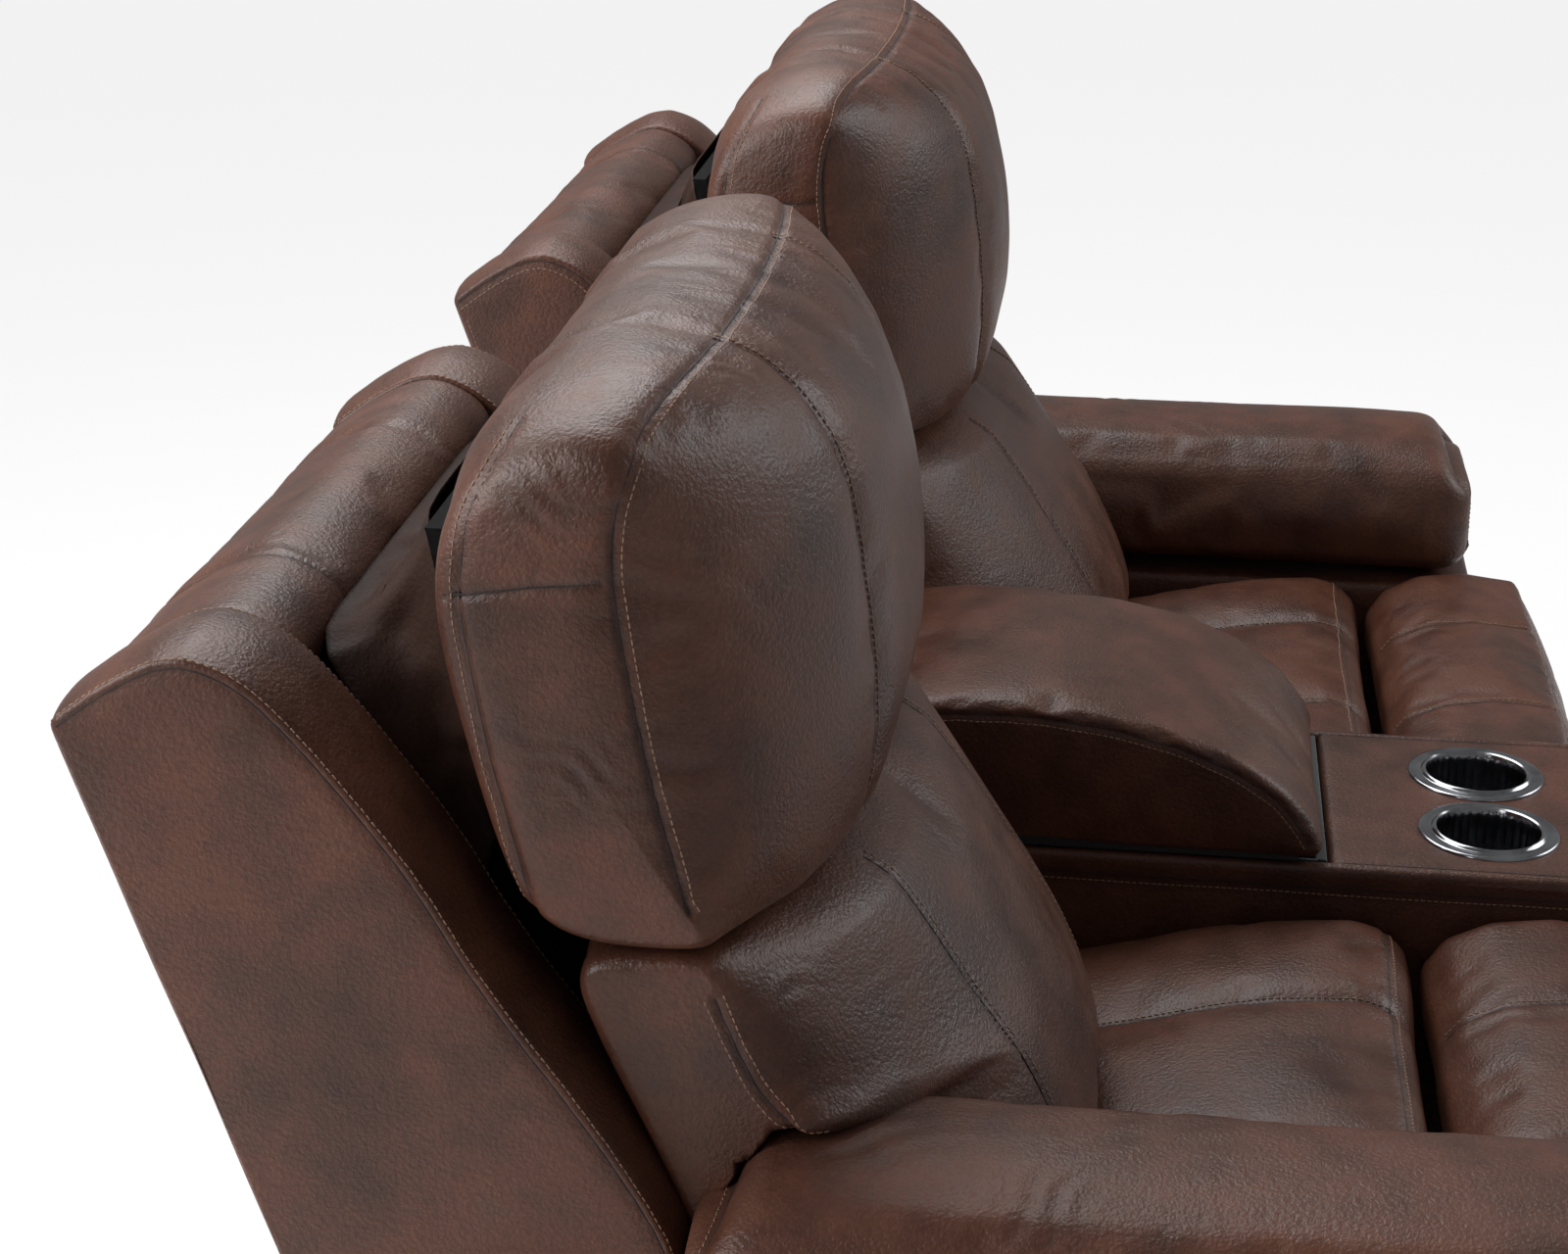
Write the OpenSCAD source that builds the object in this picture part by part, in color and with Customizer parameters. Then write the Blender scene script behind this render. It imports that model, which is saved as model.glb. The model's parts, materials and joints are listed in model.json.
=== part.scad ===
// Power reclining loveseat with a padded console between two seats.
// X runs across the width, the front faces -Y, Z is up and the floor is at Z = 0.
// Depth positions (names ending in _y) are measured from the middle of the depth.
// The right-hand pieces are drawn and the left-hand ones are their mirror images.

/* [Widths] */
// Width of the console between the seats
console_w = 302; // [280:2:330]
// Gap between the console and a seat cushion
seat_gap = 8; // [6:1:14]
// Width of a seat cushion
seat_w = 525; // [500:5:580]
// Gap between a seat cushion and the arm
arm_gap = 3; // [2:1:6]
// Width of an arm
arm_w = 248; // [230:2:270]
// Gap between the console and a back
back_gap = 4; // [3:1:8]
// Distance from the outer face of an arm in to the side of a back
back_inset = 71; // [66:1:90]
// Width of the padded wing at each side of a back
wing_w = 95; // [80:1:105]
// Distance from the side of a back in to the side of its headrest
head_inset = 26; // [15:1:40]

/* [Base] */
// Height of the feet
foot_h = 40; // [30:1:60]
// Radius of a foot
foot_r = 22; // [18:1:25]
// Height of the base rails
rail_h = 50; // [40:1:60]
// Width of a base rail
rail_w = 45; // [40:1:50]
// Front edge of the front base rail
rail_front_y = -300; // [-310:1:-290]
// Rear edge of the rear base rail
rail_rear_y = 345; // [335:1:355]
// Thickness of the board panels
board_t = 15; // [12:1:18]
// Top of the fixed panel across the back of the base
rear_panel_z = 235; // [200:5:245]

/* [Arms] */
// Front end of an arm frame
arm_front_y = -455; // [-470:1:-440]
// Rear end of an arm pad
arm_rear_y = 143; // [120:1:145]
// Rear end of the outer side panel of an arm
arm_side_rear_y = 330; // [250:5:335]
// Top of the arm frame, under the pad
arm_frame_z = 529; // [500:1:540]
// Highest point of the arm pad
arm_top_z = 690; // [660:1:700]
// How far the arm pad stands out in front of its frame
arm_pad_over = 14; // [8:1:30]

/* [Seats] */
// Front face of a seat cushion
seat_front_y = -334; // [-338:1:-330]
// Rear face of a seat cushion
seat_rear_y = 15; // [5:1:18]
// Crown of a seat cushion at the front
seat_top_z = 552; // [530:1:570]
// Height of a seat cushion at the rear
seat_rear_z = 478; // [465:1:482]
// Underside of a seat cushion
seat_low_z = 398.5; // [396:0.5:404]
// Depth of the sewn channels
channel_deep = 7; // [3:1:10]

/* [Footrests] */
// Front face of a closed footrest pad
pad_front_y = -533; // [-550:1:-515]
// Gap between a seat cushion and the closed footrest pad
pad_gap = 5; // [4:1:9]
// Underside of a closed footrest pad
pad_low_z = 100; // [90:1:130]
// Rear face of a footrest board
board_rear_y = -385; // [-390:1:-380]
// Depth position of the fixed pivots of the footrest links
link_y = -235; // [-240:1:-230]
// Height of the fixed pivots of the footrest links
link_z = 352; // [350:1:354]
// Distance between the pivots of a link
link_l = 225; // [220:1:228]
// Lean of the folded links from upright
link_lean = 10; // [8:1:12]
// Thickness of a link
link_t = 5; // [4:0.5:5.5]
// Radius of the end of a link
link_eye_r = 12; // [10:1:14]
// Radius of a link pin
link_pin_r = 6; // [5:0.5:7]

/* [Backs] */
// Depth position of the recline pivots
pivot_y = 60; // [58:1:62]
// Height of the recline pivots
pivot_z = 400; // [396:1:402]
// Radius of a recline pivot pin
pivot_r = 8; // [6:0.5:10]
// Rear corner of the top of a back
back_rear_y = 533; // [525:1:545]
// Height of the rear corner of the top of a back
back_rear_z = 943; // [930:1:955]
// Lean of the rear face of a back from upright
back_lean = 19; // [18:0.5:20]
// Highest control point of the top of a back
back_top_z = 990; // [975:1:1000]
// Lowest edge of a back wing
wing_low_z = 460; // [450:1:480]
// Lowest edge of the rear panel of a back
shell_low_z = 290; // [280:1:320]
// Front of a lumbar cushion at the seat
lumbar_front_y = -95; // [-105:1:-85]
// Top of a lumbar cushion
lumbar_top_z = 802; // [799:1:803]
// How far the side edges of the lumbar and head cushions are drawn back
back_crown = 100; // [60:5:110]

/* [Headrests] */
// Depth position of the headrest pivots
head_y = 268; // [267:0.5:269]
// Height of the headrest pivots
head_z = 800; // [799:0.5:801]
// Radius of a headrest pivot pin
head_pin_r = 6; // [5:0.5:7]
// Front of the headrest cushion
head_front_y = 45; // [35:1:60]
// Top of the headrest cushion
head_top_z = 1144; // [1120:1:1160]
// Thickness of the headrest plate
head_plate_t = 12; // [9:1:14]

/* [Console] */
// Front of the console
console_front_y = -500; // [-515:1:-480]
// Rear of the console
console_rear_y = 155; // [140:1:160]
// Top of the console deck
deck_z = 575; // [560:1:585]
// Thickness of the padded deck
deck_t = 18; // [14:1:20]
// Rear edge of the deck, where the lid begins
deck_rear_y = -262; // [-270:1:-250]
// Highest control point of the lid pad
lid_top_z = 708; // [690:1:715]
// Floor of the storage well
well_floor_z = 300; // [250:5:330]

/* [Cup holders] */
// Inside radius of a cup holder
cup_r = 42; // [38:0.5:44]
// Depth of a cup holder
cup_deep = 75; // [60:1:90]
// Wall of a cup holder
cup_wall = 1.5; // [1:0.25:2]
// Radius of the flange of a cup holder
cup_flange_r = 58.5; // [54:0.5:60]
// Height of the flange above the deck
cup_flange_h = 4; // [3:0.5:6]
// Distance from the middle of the console to the middle of a cup holder
cup_x = 61.5; // [60.5:0.5:66]
// Depth position of the cup holders
cup_y = -398; // [-410:1:-380]

/* [Switches] */
// Middle of the switch plate along the arm
switch_y = -270; // [-300:5:-150]
// Height of the middle of the switch plate
switch_z = 440; // [300:5:470]
// Length of the switch plate
switch_l = 120; // [100:2:130]
// Height of the switch plate
switch_h = 44; // [36:1:60]
// Length of a rocker
rocker_l = 24; // [20:1:30]
// Height of a rocker
rocker_h = 15; // [12:1:20]

/* [Fits] */
// Radial play of a pin in its hole
pin_play = 0.05; // [0.03:0.01:0.08]
// Gap between a soft piece and the piece it rests on
soft_gap = 0.5; // [0.3:0.1:0.8]
// Gap between pieces that slide on each other
slide_gap = 0.3; // [0.2:0.1:0.5]
// Side play between links that lie beside each other
link_play = 0.7; // [0.5:0.1:1]

/* [Hidden] */
$fn = 48;
cut = 1; // how far a cutting form reaches past the piece that it cuts
rail_z = foot_h + rail_h;
seat_x0 = console_w / 2 + seat_gap;
seat_x1 = seat_x0 + seat_w;
seat_xc = (seat_x0 + seat_x1) / 2;
arm_x0 = seat_x1 + arm_gap;
arm_x1 = arm_x0 + arm_w;
side_x1 = arm_x1 - 10;
back_x0 = console_w / 2 + back_gap;
back_x1 = arm_x1 - back_inset;
head_x0 = back_x0 + head_inset;
head_x1 = back_x1 - head_inset;
wing_x0 = back_x0 + wing_w;
wing_x1 = back_x1 - wing_w;

// Rails and feet under the sides of the seats and under the arms
rail_reach = 10;
foot_x0 = seat_x0 + rail_w / 2 - rail_reach;
foot_x1 = side_x1 - board_t - rail_w / 2;

// Power inlet in the rear panel, and the supply box behind it
inlet_z = 165;
inlet_r = 10;
inlet_flange_r = 15;
inlet_flange = 3;
inlet_body = board_t + 8;
inlet_bore_r = 5.5;
inlet_deep = 14;
supply_l = 140;
supply_h = 36;

// Layers of the side mechanism, each measured in from the side of the seat cushion
plate_d0 = 1;
plate_d1 = plate_d0 + link_t;
beam_w = 20;
box_d0 = plate_d1 + 5;
box_d1 = box_d0 + beam_w;
hang_d1 = box_d1 + link_t;
upper_d0 = hang_d1 + link_play;
upper_d1 = upper_d0 + link_t;
lower_d0 = upper_d1 + link_play;
lower_d1 = lower_d0 + link_t;
tab_d0 = lower_d1 + link_play;
tab_d1 = tab_d0 + link_t;
ear_d0 = plate_d1 + link_play;
ear_d1 = ear_d0 + link_t;
post_t = 18;
post_x0 = wing_x0 + 12;
post_x1 = seat_x1 - 29;

box_z0 = 372;
web_t = 2;
box_z1 = seat_low_z - web_t - soft_gap;
cross_w = 25; // width of the two cross beams of the seat box
box_front_y = seat_front_y + 9;
joint_b = [link_y - link_l * sin(link_lean), link_z - link_l * cos(link_lean)];
joint_c = [joint_b[0] - link_l * sin(link_lean), joint_b[1] + link_l * cos(link_lean)];
footboard_top_z = 450;
footboard_low_z = pad_low_z + 20;

// Rear face of the lumbar cushion, which the posts of the back frame follow
back_line = [[100, 478], [238, 785]];
lumbar_lean = 24;
rod_pin = [head_y + 50, head_z - 5];
motor_foot_z = 592;
rear_low_y = back_rear_y - (back_rear_z - shell_low_z) * tan(back_lean);
wing_rear_y = back_rear_y - (back_rear_z - wing_low_z) * tan(back_lean);

leather = "#4d362d";
leather_dark = "#2a1c18";
wood = "#8a6a45";
steel = "#3c3f42";
black = "#1b1b1c";

// Outline helpers

// Cuts every corner of a closed outline at a quarter of its edges; a doubled point stays sharp
function cut_corners(p) = [for (i = [0 : len(p) - 1])
    let (a = p[i], b = p[(i + 1) % len(p)]) each [0.75 * a + 0.25 * b, 0.25 * a + 0.75 * b]];
function rounded(p, rounds) = rounds == 0 ? p : rounded(cut_corners(p), rounds - 1);
function unit(v) = v / max(norm(v), 0.001);
function turned(v) = [-v[1], v[0]];
// Moves every point of an anticlockwise outline inwards by d
function drawn_in(p, d) = [for (i = [0 : len(p) - 1])
    p[i] + d * turned(unit(p[(i + 1) % len(p)] - p[(i + len(p) - 1) % len(p)]))];
// Adds a point wherever a closed outline crosses the height z
function split_at(p, z) = [for (i = [0 : len(p) - 1]) let (a = p[i], b = p[(i + 1) % len(p)])
    each (a[1] - z) * (b[1] - z) < 0 ? [a, mix(a, b, (z - a[1]) / (b[1] - a[1]))] : [a]];
function ease(t) = let (c = min(max(t, 0), 1)) c * c * (3 - 2 * c);
function mix(a, b, t) = a + (b - a) * t;

// Cushion helpers

// Stations along a cushion from -1 to 1, close together at its rounded ends and at its channels
function stations(edge, seam) = let (e = 1 - edge, half = [1, e + edge * 0.92, e + edge * 0.7, e,
    seam + 0.09, seam, seam - 0.09]) concat([for (s = half) -s], [0], [for (i = [6 : -1 : 0]) half[i]]);
// Quarter-round draw-in of the end at station u
function end_round(u, edge) = let (t = max(0, (abs(u) - 1 + edge) / edge)) 1 - sqrt(max(0, 1 - t * t));
function hollow(u, seam) = exp(-pow((abs(u) - seam) / 0.035, 2));

// A padded form lofted along its length from a closed outline.
// face is the crowned direction, crown how far the ends fall back, radius the roundness of the ends,
// seam the station of the two sewn channels, low and high functions of the outline's own height.
// inset lists how far further rings of points on each end are drawn to its middle.
module padded(outline, low, high, face, crown, radius, edge, seam, deep, along_y = false, inset = []) {
    n = len(outline);
    mid = [for (k = [0, 1]) (min([for (p = outline) p[k]]) + max([for (p = outline) p[k]])) / 2];
    reach = max([for (p = outline) (p - mid) * face]);
    us = stations(edge, seam);
    function on_end(q, end) = along_y ? [q[0], end(q[2]), q[2]] : [end(q[2]), q[1], q[2]];
    body = [for (u = us) let (ring = drawn_in(outline, radius * end_round(u, edge)))
        [for (i = [0 : n - 1])
            let (w = min(max(((outline[i] - mid) * face) / reach, 0), 1),
                 q = ring[i] - face * w * (crown * pow(abs(u), 3) + deep * hollow(u, seam)),
                 s = mix(low(q[1]), high(q[1]), (u + 1) / 2))
            along_y ? [q[0], s, q[1]] : [s, q[0], q[1]]]];
    c0 = sum(body[0]) / n;
    c1 = sum(body[len(us) - 1]) / n;
    rings = concat([for (i = [len(inset) - 1 : -1 : 0]) [for (q = body[0]) on_end(mix(q, c0, inset[i]), low)]],
        body, [for (k = inset) [for (q = body[len(us) - 1]) on_end(mix(q, c1, k), high)]]);
    points = concat([for (r = rings) each r], [on_end(c0, low), on_end(c1, high)]);
    last = (len(rings) - 1) * n;
    sides = [for (s = [0 : len(rings) - 2], i = [0 : n - 1]) let (a = s * n + i, b = s * n + (i + 1) % n)
        each [[a, a + n, b], [b, a + n, b + n]]];
    ends = [for (i = [0 : n - 1]) each [[i, (i + 1) % n, len(rings) * n],
        [last + (i + 1) % n, last + i, len(rings) * n + 1]]];
    faces = concat(sides, ends);
    polyhedron(points, along_y ? [for (f = faces) [f[0], f[2], f[1]]] : faces, convexity = 6);
}
function sum(v, i = 0) = i == len(v) - 1 ? v[i] : v[i] + sum(v, i + 1);

// Solid helpers

// Extrudes a side outline, given as depth and height, from x0 to x1
module along_x(x0, x1) {
    translate([x0, 0, 0]) rotate([90, 0, 90]) linear_extrude(x1 - x0) children();
}
module rod_x(p, x0, x1, r) {
    translate([x0, p[0], p[1]]) rotate([0, 90, 0]) cylinder(r = r, h = x1 - x0);
}
module block(a, b) {
    translate(a) cube(b - a);
}
module left() {
    mirror([1, 0, 0]) children();
}
// Repeats a piece of the seat mechanism at both sides of its seat
module both_sides() {
    children();
    translate([2 * seat_xc, 0, 0]) mirror([1, 0, 0]) children();
}
// A flat bar with round ends between two points, from x0 to x1
module bar_x(a, b, x0, x1, r) {
    dir = unit(b - a);
    across = turned(dir) * r;
    along_x(x0, x1) polygon([a + across, a - across, b - across, b + across]);
    rod_x(a, x0, x1, r);
    rod_x(b, x0, x1, r);
}

// Base

module base_rails() {
    color(steel) {
        for (y = [rail_front_y, rail_rear_y - rail_w])
            block([-side_x1 + board_t, y, foot_h], [side_x1 - board_t, y + rail_w, rail_z]);
        for (s = [-1, 1], x = [foot_x0, seat_x1 - rail_w / 2 + rail_reach, foot_x1])
            block([s * x - rail_w / 2, rail_front_y, foot_h], [s * x + rail_w / 2, rail_rear_y, rail_z]);
    }
}
module feet() {
    color(black)
        for (x = [-foot_x1, -foot_x0, foot_x0, foot_x1],
             y = [rail_front_y + rail_w / 2, rail_rear_y - rail_w / 2])
            translate([x, y, 0]) cylinder(r = foot_r, h = foot_h);
}

module rear_panel() {
    color(leather) difference() {
        block([-back_x1, rail_rear_y, foot_h], [back_x1, rail_rear_y + board_t, rear_panel_z]);
        translate([0, rail_rear_y - cut, inlet_z]) rotate([-90, 0, 0])
            cylinder(r = inlet_r, h = board_t + 2 * cut);
    }
}
module power_inlet() {
    face = rail_rear_y + board_t;
    color(black) translate([0, face, inlet_z]) rotate([-90, 0, 0]) difference() {
        union() {
            cylinder(r = inlet_flange_r, h = inlet_flange);
            translate([0, 0, -inlet_body]) cylinder(r = inlet_r - slide_gap, h = inlet_body);
        }
        translate([0, 0, inlet_flange - inlet_deep]) cylinder(r = inlet_bore_r, h = inlet_deep + cut);
    }
}

module power_supply() {
    color(black) block([-supply_l / 2, rail_rear_y - rail_w, rail_z],
        [supply_l / 2, rail_rear_y - 2, rail_z + supply_h]);
}

// Console

deck_gap = 1;
well_front_y = deck_rear_y + 2;
module console_box() {
    w = console_w / 2;
    color(leather) difference() {
        union() {
            block([-w, console_front_y, rail_z], [w, deck_rear_y, deck_z - deck_t]);
            block([-w, deck_rear_y - deck_gap, rail_z], [w, console_rear_y, deck_z]);
        }
        block([board_t - w, console_front_y + board_t, rail_z + board_t],
              [w - board_t, deck_rear_y - board_t, deck_z]);
        block([board_t - w, well_front_y, well_floor_z],
              [w - board_t, console_rear_y - board_t, deck_z + cut]);
        block([board_t - w, well_front_y, rail_z - cut],
              [w - board_t, console_rear_y - board_t, well_floor_z - board_t]);
    }
}

module console_deck() {
    w = console_w / 2;
    color(leather) difference() {
        block([-w, console_front_y, deck_z - deck_t], [w, deck_rear_y - deck_gap - slide_gap, deck_z]);
        for (s = [-1, 1])
            translate([s * cup_x, cup_y, deck_z - deck_t - cut])
                cylinder(r = cup_r + cup_wall + slide_gap, h = deck_t + 2 * cut);
    }
}

cup_bevel = 4; // width of the rounded rim of the flange
module right_cup_holder() {
    color("#6f7176") translate([cup_x, cup_y, deck_z]) rotate_extrude($fn = 64) polygon([
        [0, cup_flange_h - cup_deep - cup_wall],
        [cup_r + cup_wall, cup_flange_h - cup_deep - cup_wall],
        [cup_r + cup_wall, 0],
        [cup_flange_r, 0],
        [cup_flange_r - cup_bevel / 4, cup_flange_h * 0.7],
        [cup_flange_r - cup_bevel, cup_flange_h],
        [cup_r, cup_flange_h],
        [cup_r, cup_flange_h - cup_deep],
        [0, cup_flange_h - cup_deep]]);
}
module left_cup_holder() left() right_cup_holder();

// The lid turns about this axis behind the console
lid_board_z = deck_z + 2.5;
lid_axis = [console_rear_y + 7, lid_board_z];
hinge_r = 5;
hinge_pin_r = 2;
hinge_t = 2; // thickness of both leaves
hinge_leaf = 45; // width of both leaves
hinge_half = 105;
knuckle = 30;

module lid_hinge_base() {
    color(steel) {
        block([-hinge_half, console_rear_y, deck_z - hinge_leaf],
              [hinge_half, console_rear_y + hinge_t, deck_z]);
        for (x = [-hinge_half : 2 * knuckle : hinge_half - knuckle]) {
            rod_x(lid_axis, x, x + knuckle, hinge_r);
            block([x, console_rear_y, lid_axis[1] - hinge_r],
                  [x + knuckle, lid_axis[0], lid_axis[1] - hinge_t]);
        }
        rod_x(lid_axis, -hinge_half, hinge_half, hinge_pin_r);
    }
}

module lid_hinge_leaf() {
    color(steel) difference() {
        union() {
            block([-hinge_half, console_rear_y - hinge_leaf, lid_board_z - hinge_t],
                  [hinge_half, console_rear_y - 1, lid_board_z]);
            for (x = [-hinge_half + knuckle : 2 * knuckle : hinge_half - knuckle]) {
                rod_x(lid_axis, x + slide_gap, x + knuckle - slide_gap, hinge_r);
                block([x + slide_gap, console_rear_y - hinge_r, lid_board_z - hinge_t],
                      [x + knuckle - slide_gap, lid_axis[0], lid_board_z]);
            }
        }
        rod_x(lid_axis, -hinge_half, hinge_half, hinge_pin_r + pin_play);
    }
}

lid_in = 4; // how far the lid board lies inside the console
lid_front_in = 25; // how far it lies behind the front of the lid
lid_rear_in = 12; // how far it lies in front of the rear of the console
module lid_board() {
    w = console_w / 2 - lid_in;
    color(wood) block([-w, deck_rear_y + lid_front_in, lid_board_z],
        [w, console_rear_y - lid_rear_in, lid_board_z + board_t]);
}

module lid_pad() {
    low = lid_board_z + board_t + soft_gap;
    top = lid_top_z;
    front = deck_rear_y;
    rear = console_rear_y - lid_rear_in + lid_in;
    long = rear - front;
    nose = [front + lid_rear_in, low];
    outline = rounded([[rear, low], [rear, top - 18], [rear - long * 0.3, top],
        [front + long * 0.37, top - 14], [front + long * 0.115, top - 58], [front, low + 6], nose, nose], 1);
    half = console_w / 2 - lid_in / 2;
    color(leather) padded(outline, function (z) -half, function (z) half, [0, 1], 10, 16, 0.12, 0.62, 0);
}

// Arms

arm_in = 3; // how far the sides of the arm frame lie inside the pad
arm_rear_in = 13; // how far its rear lies inside the pad
module right_arm_frame() {
    inner = arm_x0 + arm_in;
    rear = arm_rear_y - arm_rear_in;
    color(leather) difference() {
        union() {
            block([side_x1 - board_t, arm_front_y, foot_h], [side_x1, arm_side_rear_y, arm_frame_z]);
            block([inner, arm_front_y, foot_h], [side_x1, arm_front_y + board_t, arm_frame_z]);
            block([inner, arm_front_y, rail_z], [inner + board_t, rear, arm_frame_z]);
            block([inner, rear - board_t, rail_z], [side_x1, rear, arm_frame_z]);
            block([inner, arm_front_y, arm_frame_z - board_t], [side_x1, rear, arm_frame_z]);
        }
        switch_body(slide_gap);
    }
}
module left_arm_frame() left() right_arm_frame();

module right_arm_pad() {
    low = arm_frame_z + soft_gap;
    top = arm_top_z;
    mid = (arm_x0 + arm_x1) / 2;
    bulge = 2;
    shoulder = [10, 18];
    belly = low + 70;
    outline = rounded([[arm_x0 + arm_in, low], [arm_x1 - arm_in, low], [arm_x1 + bulge, belly],
        [arm_x1 - shoulder[0], top - shoulder[1]], [mid, top], [arm_x0 + shoulder[0], top - shoulder[1]],
        [arm_x0 - bulge, belly]], 2);
    color(leather) padded(outline, function (z) arm_front_y - arm_pad_over, function (z) arm_rear_y,
        [0, 1], 0, 45, 0.16, 0.5, 0, true);
}
module left_arm_pad() left() right_arm_pad();

// Switches in the outer side of each arm

rocker_axis_x = side_x1 - 3;
rocker_step = 25; // distance of a rocker from the middle of the plate
rocker_pin_r = 1.5;
switch_rim = 6; // how far the plate stands out around its body
switch_t = 3;
module switch_body(grow) {
    l = switch_l / 2 - switch_rim + grow;
    h = switch_h / 2 - switch_rim + grow;
    block([side_x1 - board_t + 1 - grow, switch_y - l, switch_z - h],
          [side_x1 + cut, switch_y + l, switch_z + h]);
}
module right_switch_plate() {
    color("#5b5d61") {
        difference() {
            union() {
                switch_body(0);
                block([side_x1, switch_y - switch_l / 2, switch_z - switch_h / 2],
                      [side_x1 + switch_t, switch_y + switch_l / 2, switch_z + switch_h / 2]);
            }
            for (s = [-1, 1]) translate([0, switch_y + s * rocker_step, switch_z])
                block([side_x1 - board_t + 3, -rocker_l / 2 - 2, -rocker_h / 2 - soft_gap],
                      [side_x1 + switch_t + cut, rocker_l / 2 + 2, rocker_h / 2 + soft_gap]);
        }
        for (s = [-1, 1])
            translate([rocker_axis_x, switch_y + s * rocker_step, switch_z - rocker_h / 2 - 1])
                cylinder(r = rocker_pin_r, h = rocker_h + 2);
    }
}
module left_switch_plate() left() right_switch_plate();

module rocker(s) {
    l = rocker_l / 2;
    top = 9;
    dip = 2;
    color(black) translate([rocker_axis_x, switch_y + s * rocker_step, switch_z - rocker_h / 2])
        difference() {
            linear_extrude(rocker_h) polygon([[-4, -l], [top - dip, -l], [top, dip - l],
                [top - dip, 0], [top, l - dip], [top - dip, l], [-4, l]]);
            translate([0, 0, -cut]) cylinder(r = rocker_pin_r + pin_play, h = rocker_h + 2 * cut);
        }
}
module right_recline_rocker() rocker(-1);
module left_recline_rocker() left() rocker(-1);
module right_headrest_rocker() rocker(1);
module left_headrest_rocker() left() rocker(1);

// Recline drive and seat

track_w = 30;
track_h = 18;
track_in = 15; // distance of the track's ends from the ends of the rails
motor_w = 64;
motor_top_z = rail_z + 72;
motor_y = [190, 285];
gear_r = 22;
gear_l = 80;
nut_y = -10;
nut_l = 50;
nut_wall = 5;
nut_push = [24, 10]; // width and thickness of the post that pushes the seat box
module right_recline_motor() {
    color(black) {
        block([seat_xc - track_w / 2, rail_front_y + track_in, rail_z],
              [seat_xc + track_w / 2, rail_rear_y - track_in, rail_z + track_h]);
        block([seat_xc - motor_w / 2, motor_y[0], rail_z + track_h - 1],
              [seat_xc + motor_w / 2, motor_y[1], motor_top_z]);
        translate([seat_xc, motor_y[0], motor_top_z - gear_r - 4]) rotate([90, 0, 0])
            cylinder(r = gear_r, h = gear_l);
    }
}
module left_recline_motor() left() right_recline_motor();

module right_drive_nut() {
    top = rail_z + track_h;
    nut_top = 14;
    side = track_w / 2 + slide_gap;
    color("#70747a") {
        difference() {
            block([seat_xc - side - nut_wall, nut_y - nut_l / 2, rail_z + nut_wall],
                  [seat_xc + side + nut_wall, nut_y + nut_l / 2, top + nut_top]);
            block([seat_xc - side, nut_y - nut_l / 2 - cut, rail_z + nut_wall - cut],
                  [seat_xc + side, nut_y + nut_l / 2 + cut, top + slide_gap]);
        }
        block([seat_xc - nut_push[0] / 2, nut_y - nut_push[1] / 2, top + nut_top - 1],
              [seat_xc + nut_push[0] / 2, nut_y + nut_push[1] / 2, box_z0]);
    }
}
module left_drive_nut() left() right_drive_nut();

post_reach = 40; // how far the plate reaches behind the recline pivot
post_head = 25; // how far it reaches above and in front of that pivot
hole_y = [-200, -80];
hole_r = 40;
track_t = 6; // thickness of the ledge on which the seat box slides
module right_side_plates() {
    color(steel) both_sides() {
        difference() {
            along_x(seat_x0 + plate_d0, seat_x0 + plate_d1) polygon([
                [rail_front_y, rail_z], [pivot_y + post_reach, rail_z],
                [pivot_y + post_reach, pivot_z + post_head], [pivot_y - post_head, pivot_z + post_head],
                [pivot_y - post_head, box_z0], [rail_front_y, box_z0]]);
            for (y = hole_y)
                rod_x([y, (rail_z + box_z0) / 2], seat_x0, seat_x0 + plate_d1 + cut, hole_r);
        }
        block([seat_x0 + plate_d0, rail_front_y, box_z0 - track_t],
              [seat_x0 + box_d1 - 1, seat_rear_y, box_z0 - slide_gap]);
        rod_x([pivot_y, pivot_z], seat_x0 + plate_d0, seat_x0 + ear_d1 + 3, pivot_r);
    }
}
module left_side_plates() left() right_side_plates();

module right_seat_box() {
    color(wood) {
        both_sides()
            block([seat_x0 + box_d0, box_front_y, box_z0], [seat_x0 + box_d1, seat_rear_y, box_z1]);
        for (y = [box_front_y, nut_y - cross_w / 2])
            block([seat_x0 + box_d0, y, box_z0], [seat_x1 - box_d0, y + cross_w, box_z1]);
    }
    color(steel) both_sides() {
        bar_x([link_y, link_z], [link_y, box_z0 + 10], seat_x0 + box_d1 - 1, seat_x0 + hang_d1, link_eye_r);
        rod_x([link_y, link_z], seat_x0 + box_d1, seat_x0 + upper_d1, link_pin_r);
    }
}
module left_seat_box() left() right_seat_box();

strap_w = 50;
strap_in = 15; // distance of the outer straps from the side beams
strap_count = 5;
module right_seat_webbing() {
    x0 = seat_x0 + box_d1 + strap_in;
    step = (seat_w - 2 * (box_d1 + strap_in) - strap_w) / (strap_count - 1);
    color("#cfc7b8") for (i = [0 : strap_count - 1]) translate([x0 + i * step, 0, 0])
        block([0, box_front_y, box_z1], [strap_w, seat_rear_y - 2, box_z1 + web_t]);
}
module left_seat_webbing() left() right_seat_webbing();

module right_seat_cushion() {
    long = seat_rear_y - seat_front_y;
    outline = rounded([[seat_rear_y, seat_low_z], [seat_rear_y, seat_rear_z],
        [seat_rear_y - long * 0.21, seat_rear_z + 22], [seat_front_y + long * 0.38, seat_top_z - 10],
        [seat_front_y, seat_top_z], [seat_front_y, seat_low_z]], 2);
    color(leather) padded(outline, function (z) seat_x0, function (z) seat_x1, [0, 1], 8, 20, 0.08,
        0.42, channel_deep);
}
module left_seat_cushion() left() right_seat_cushion();

// Footrest linkage

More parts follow.
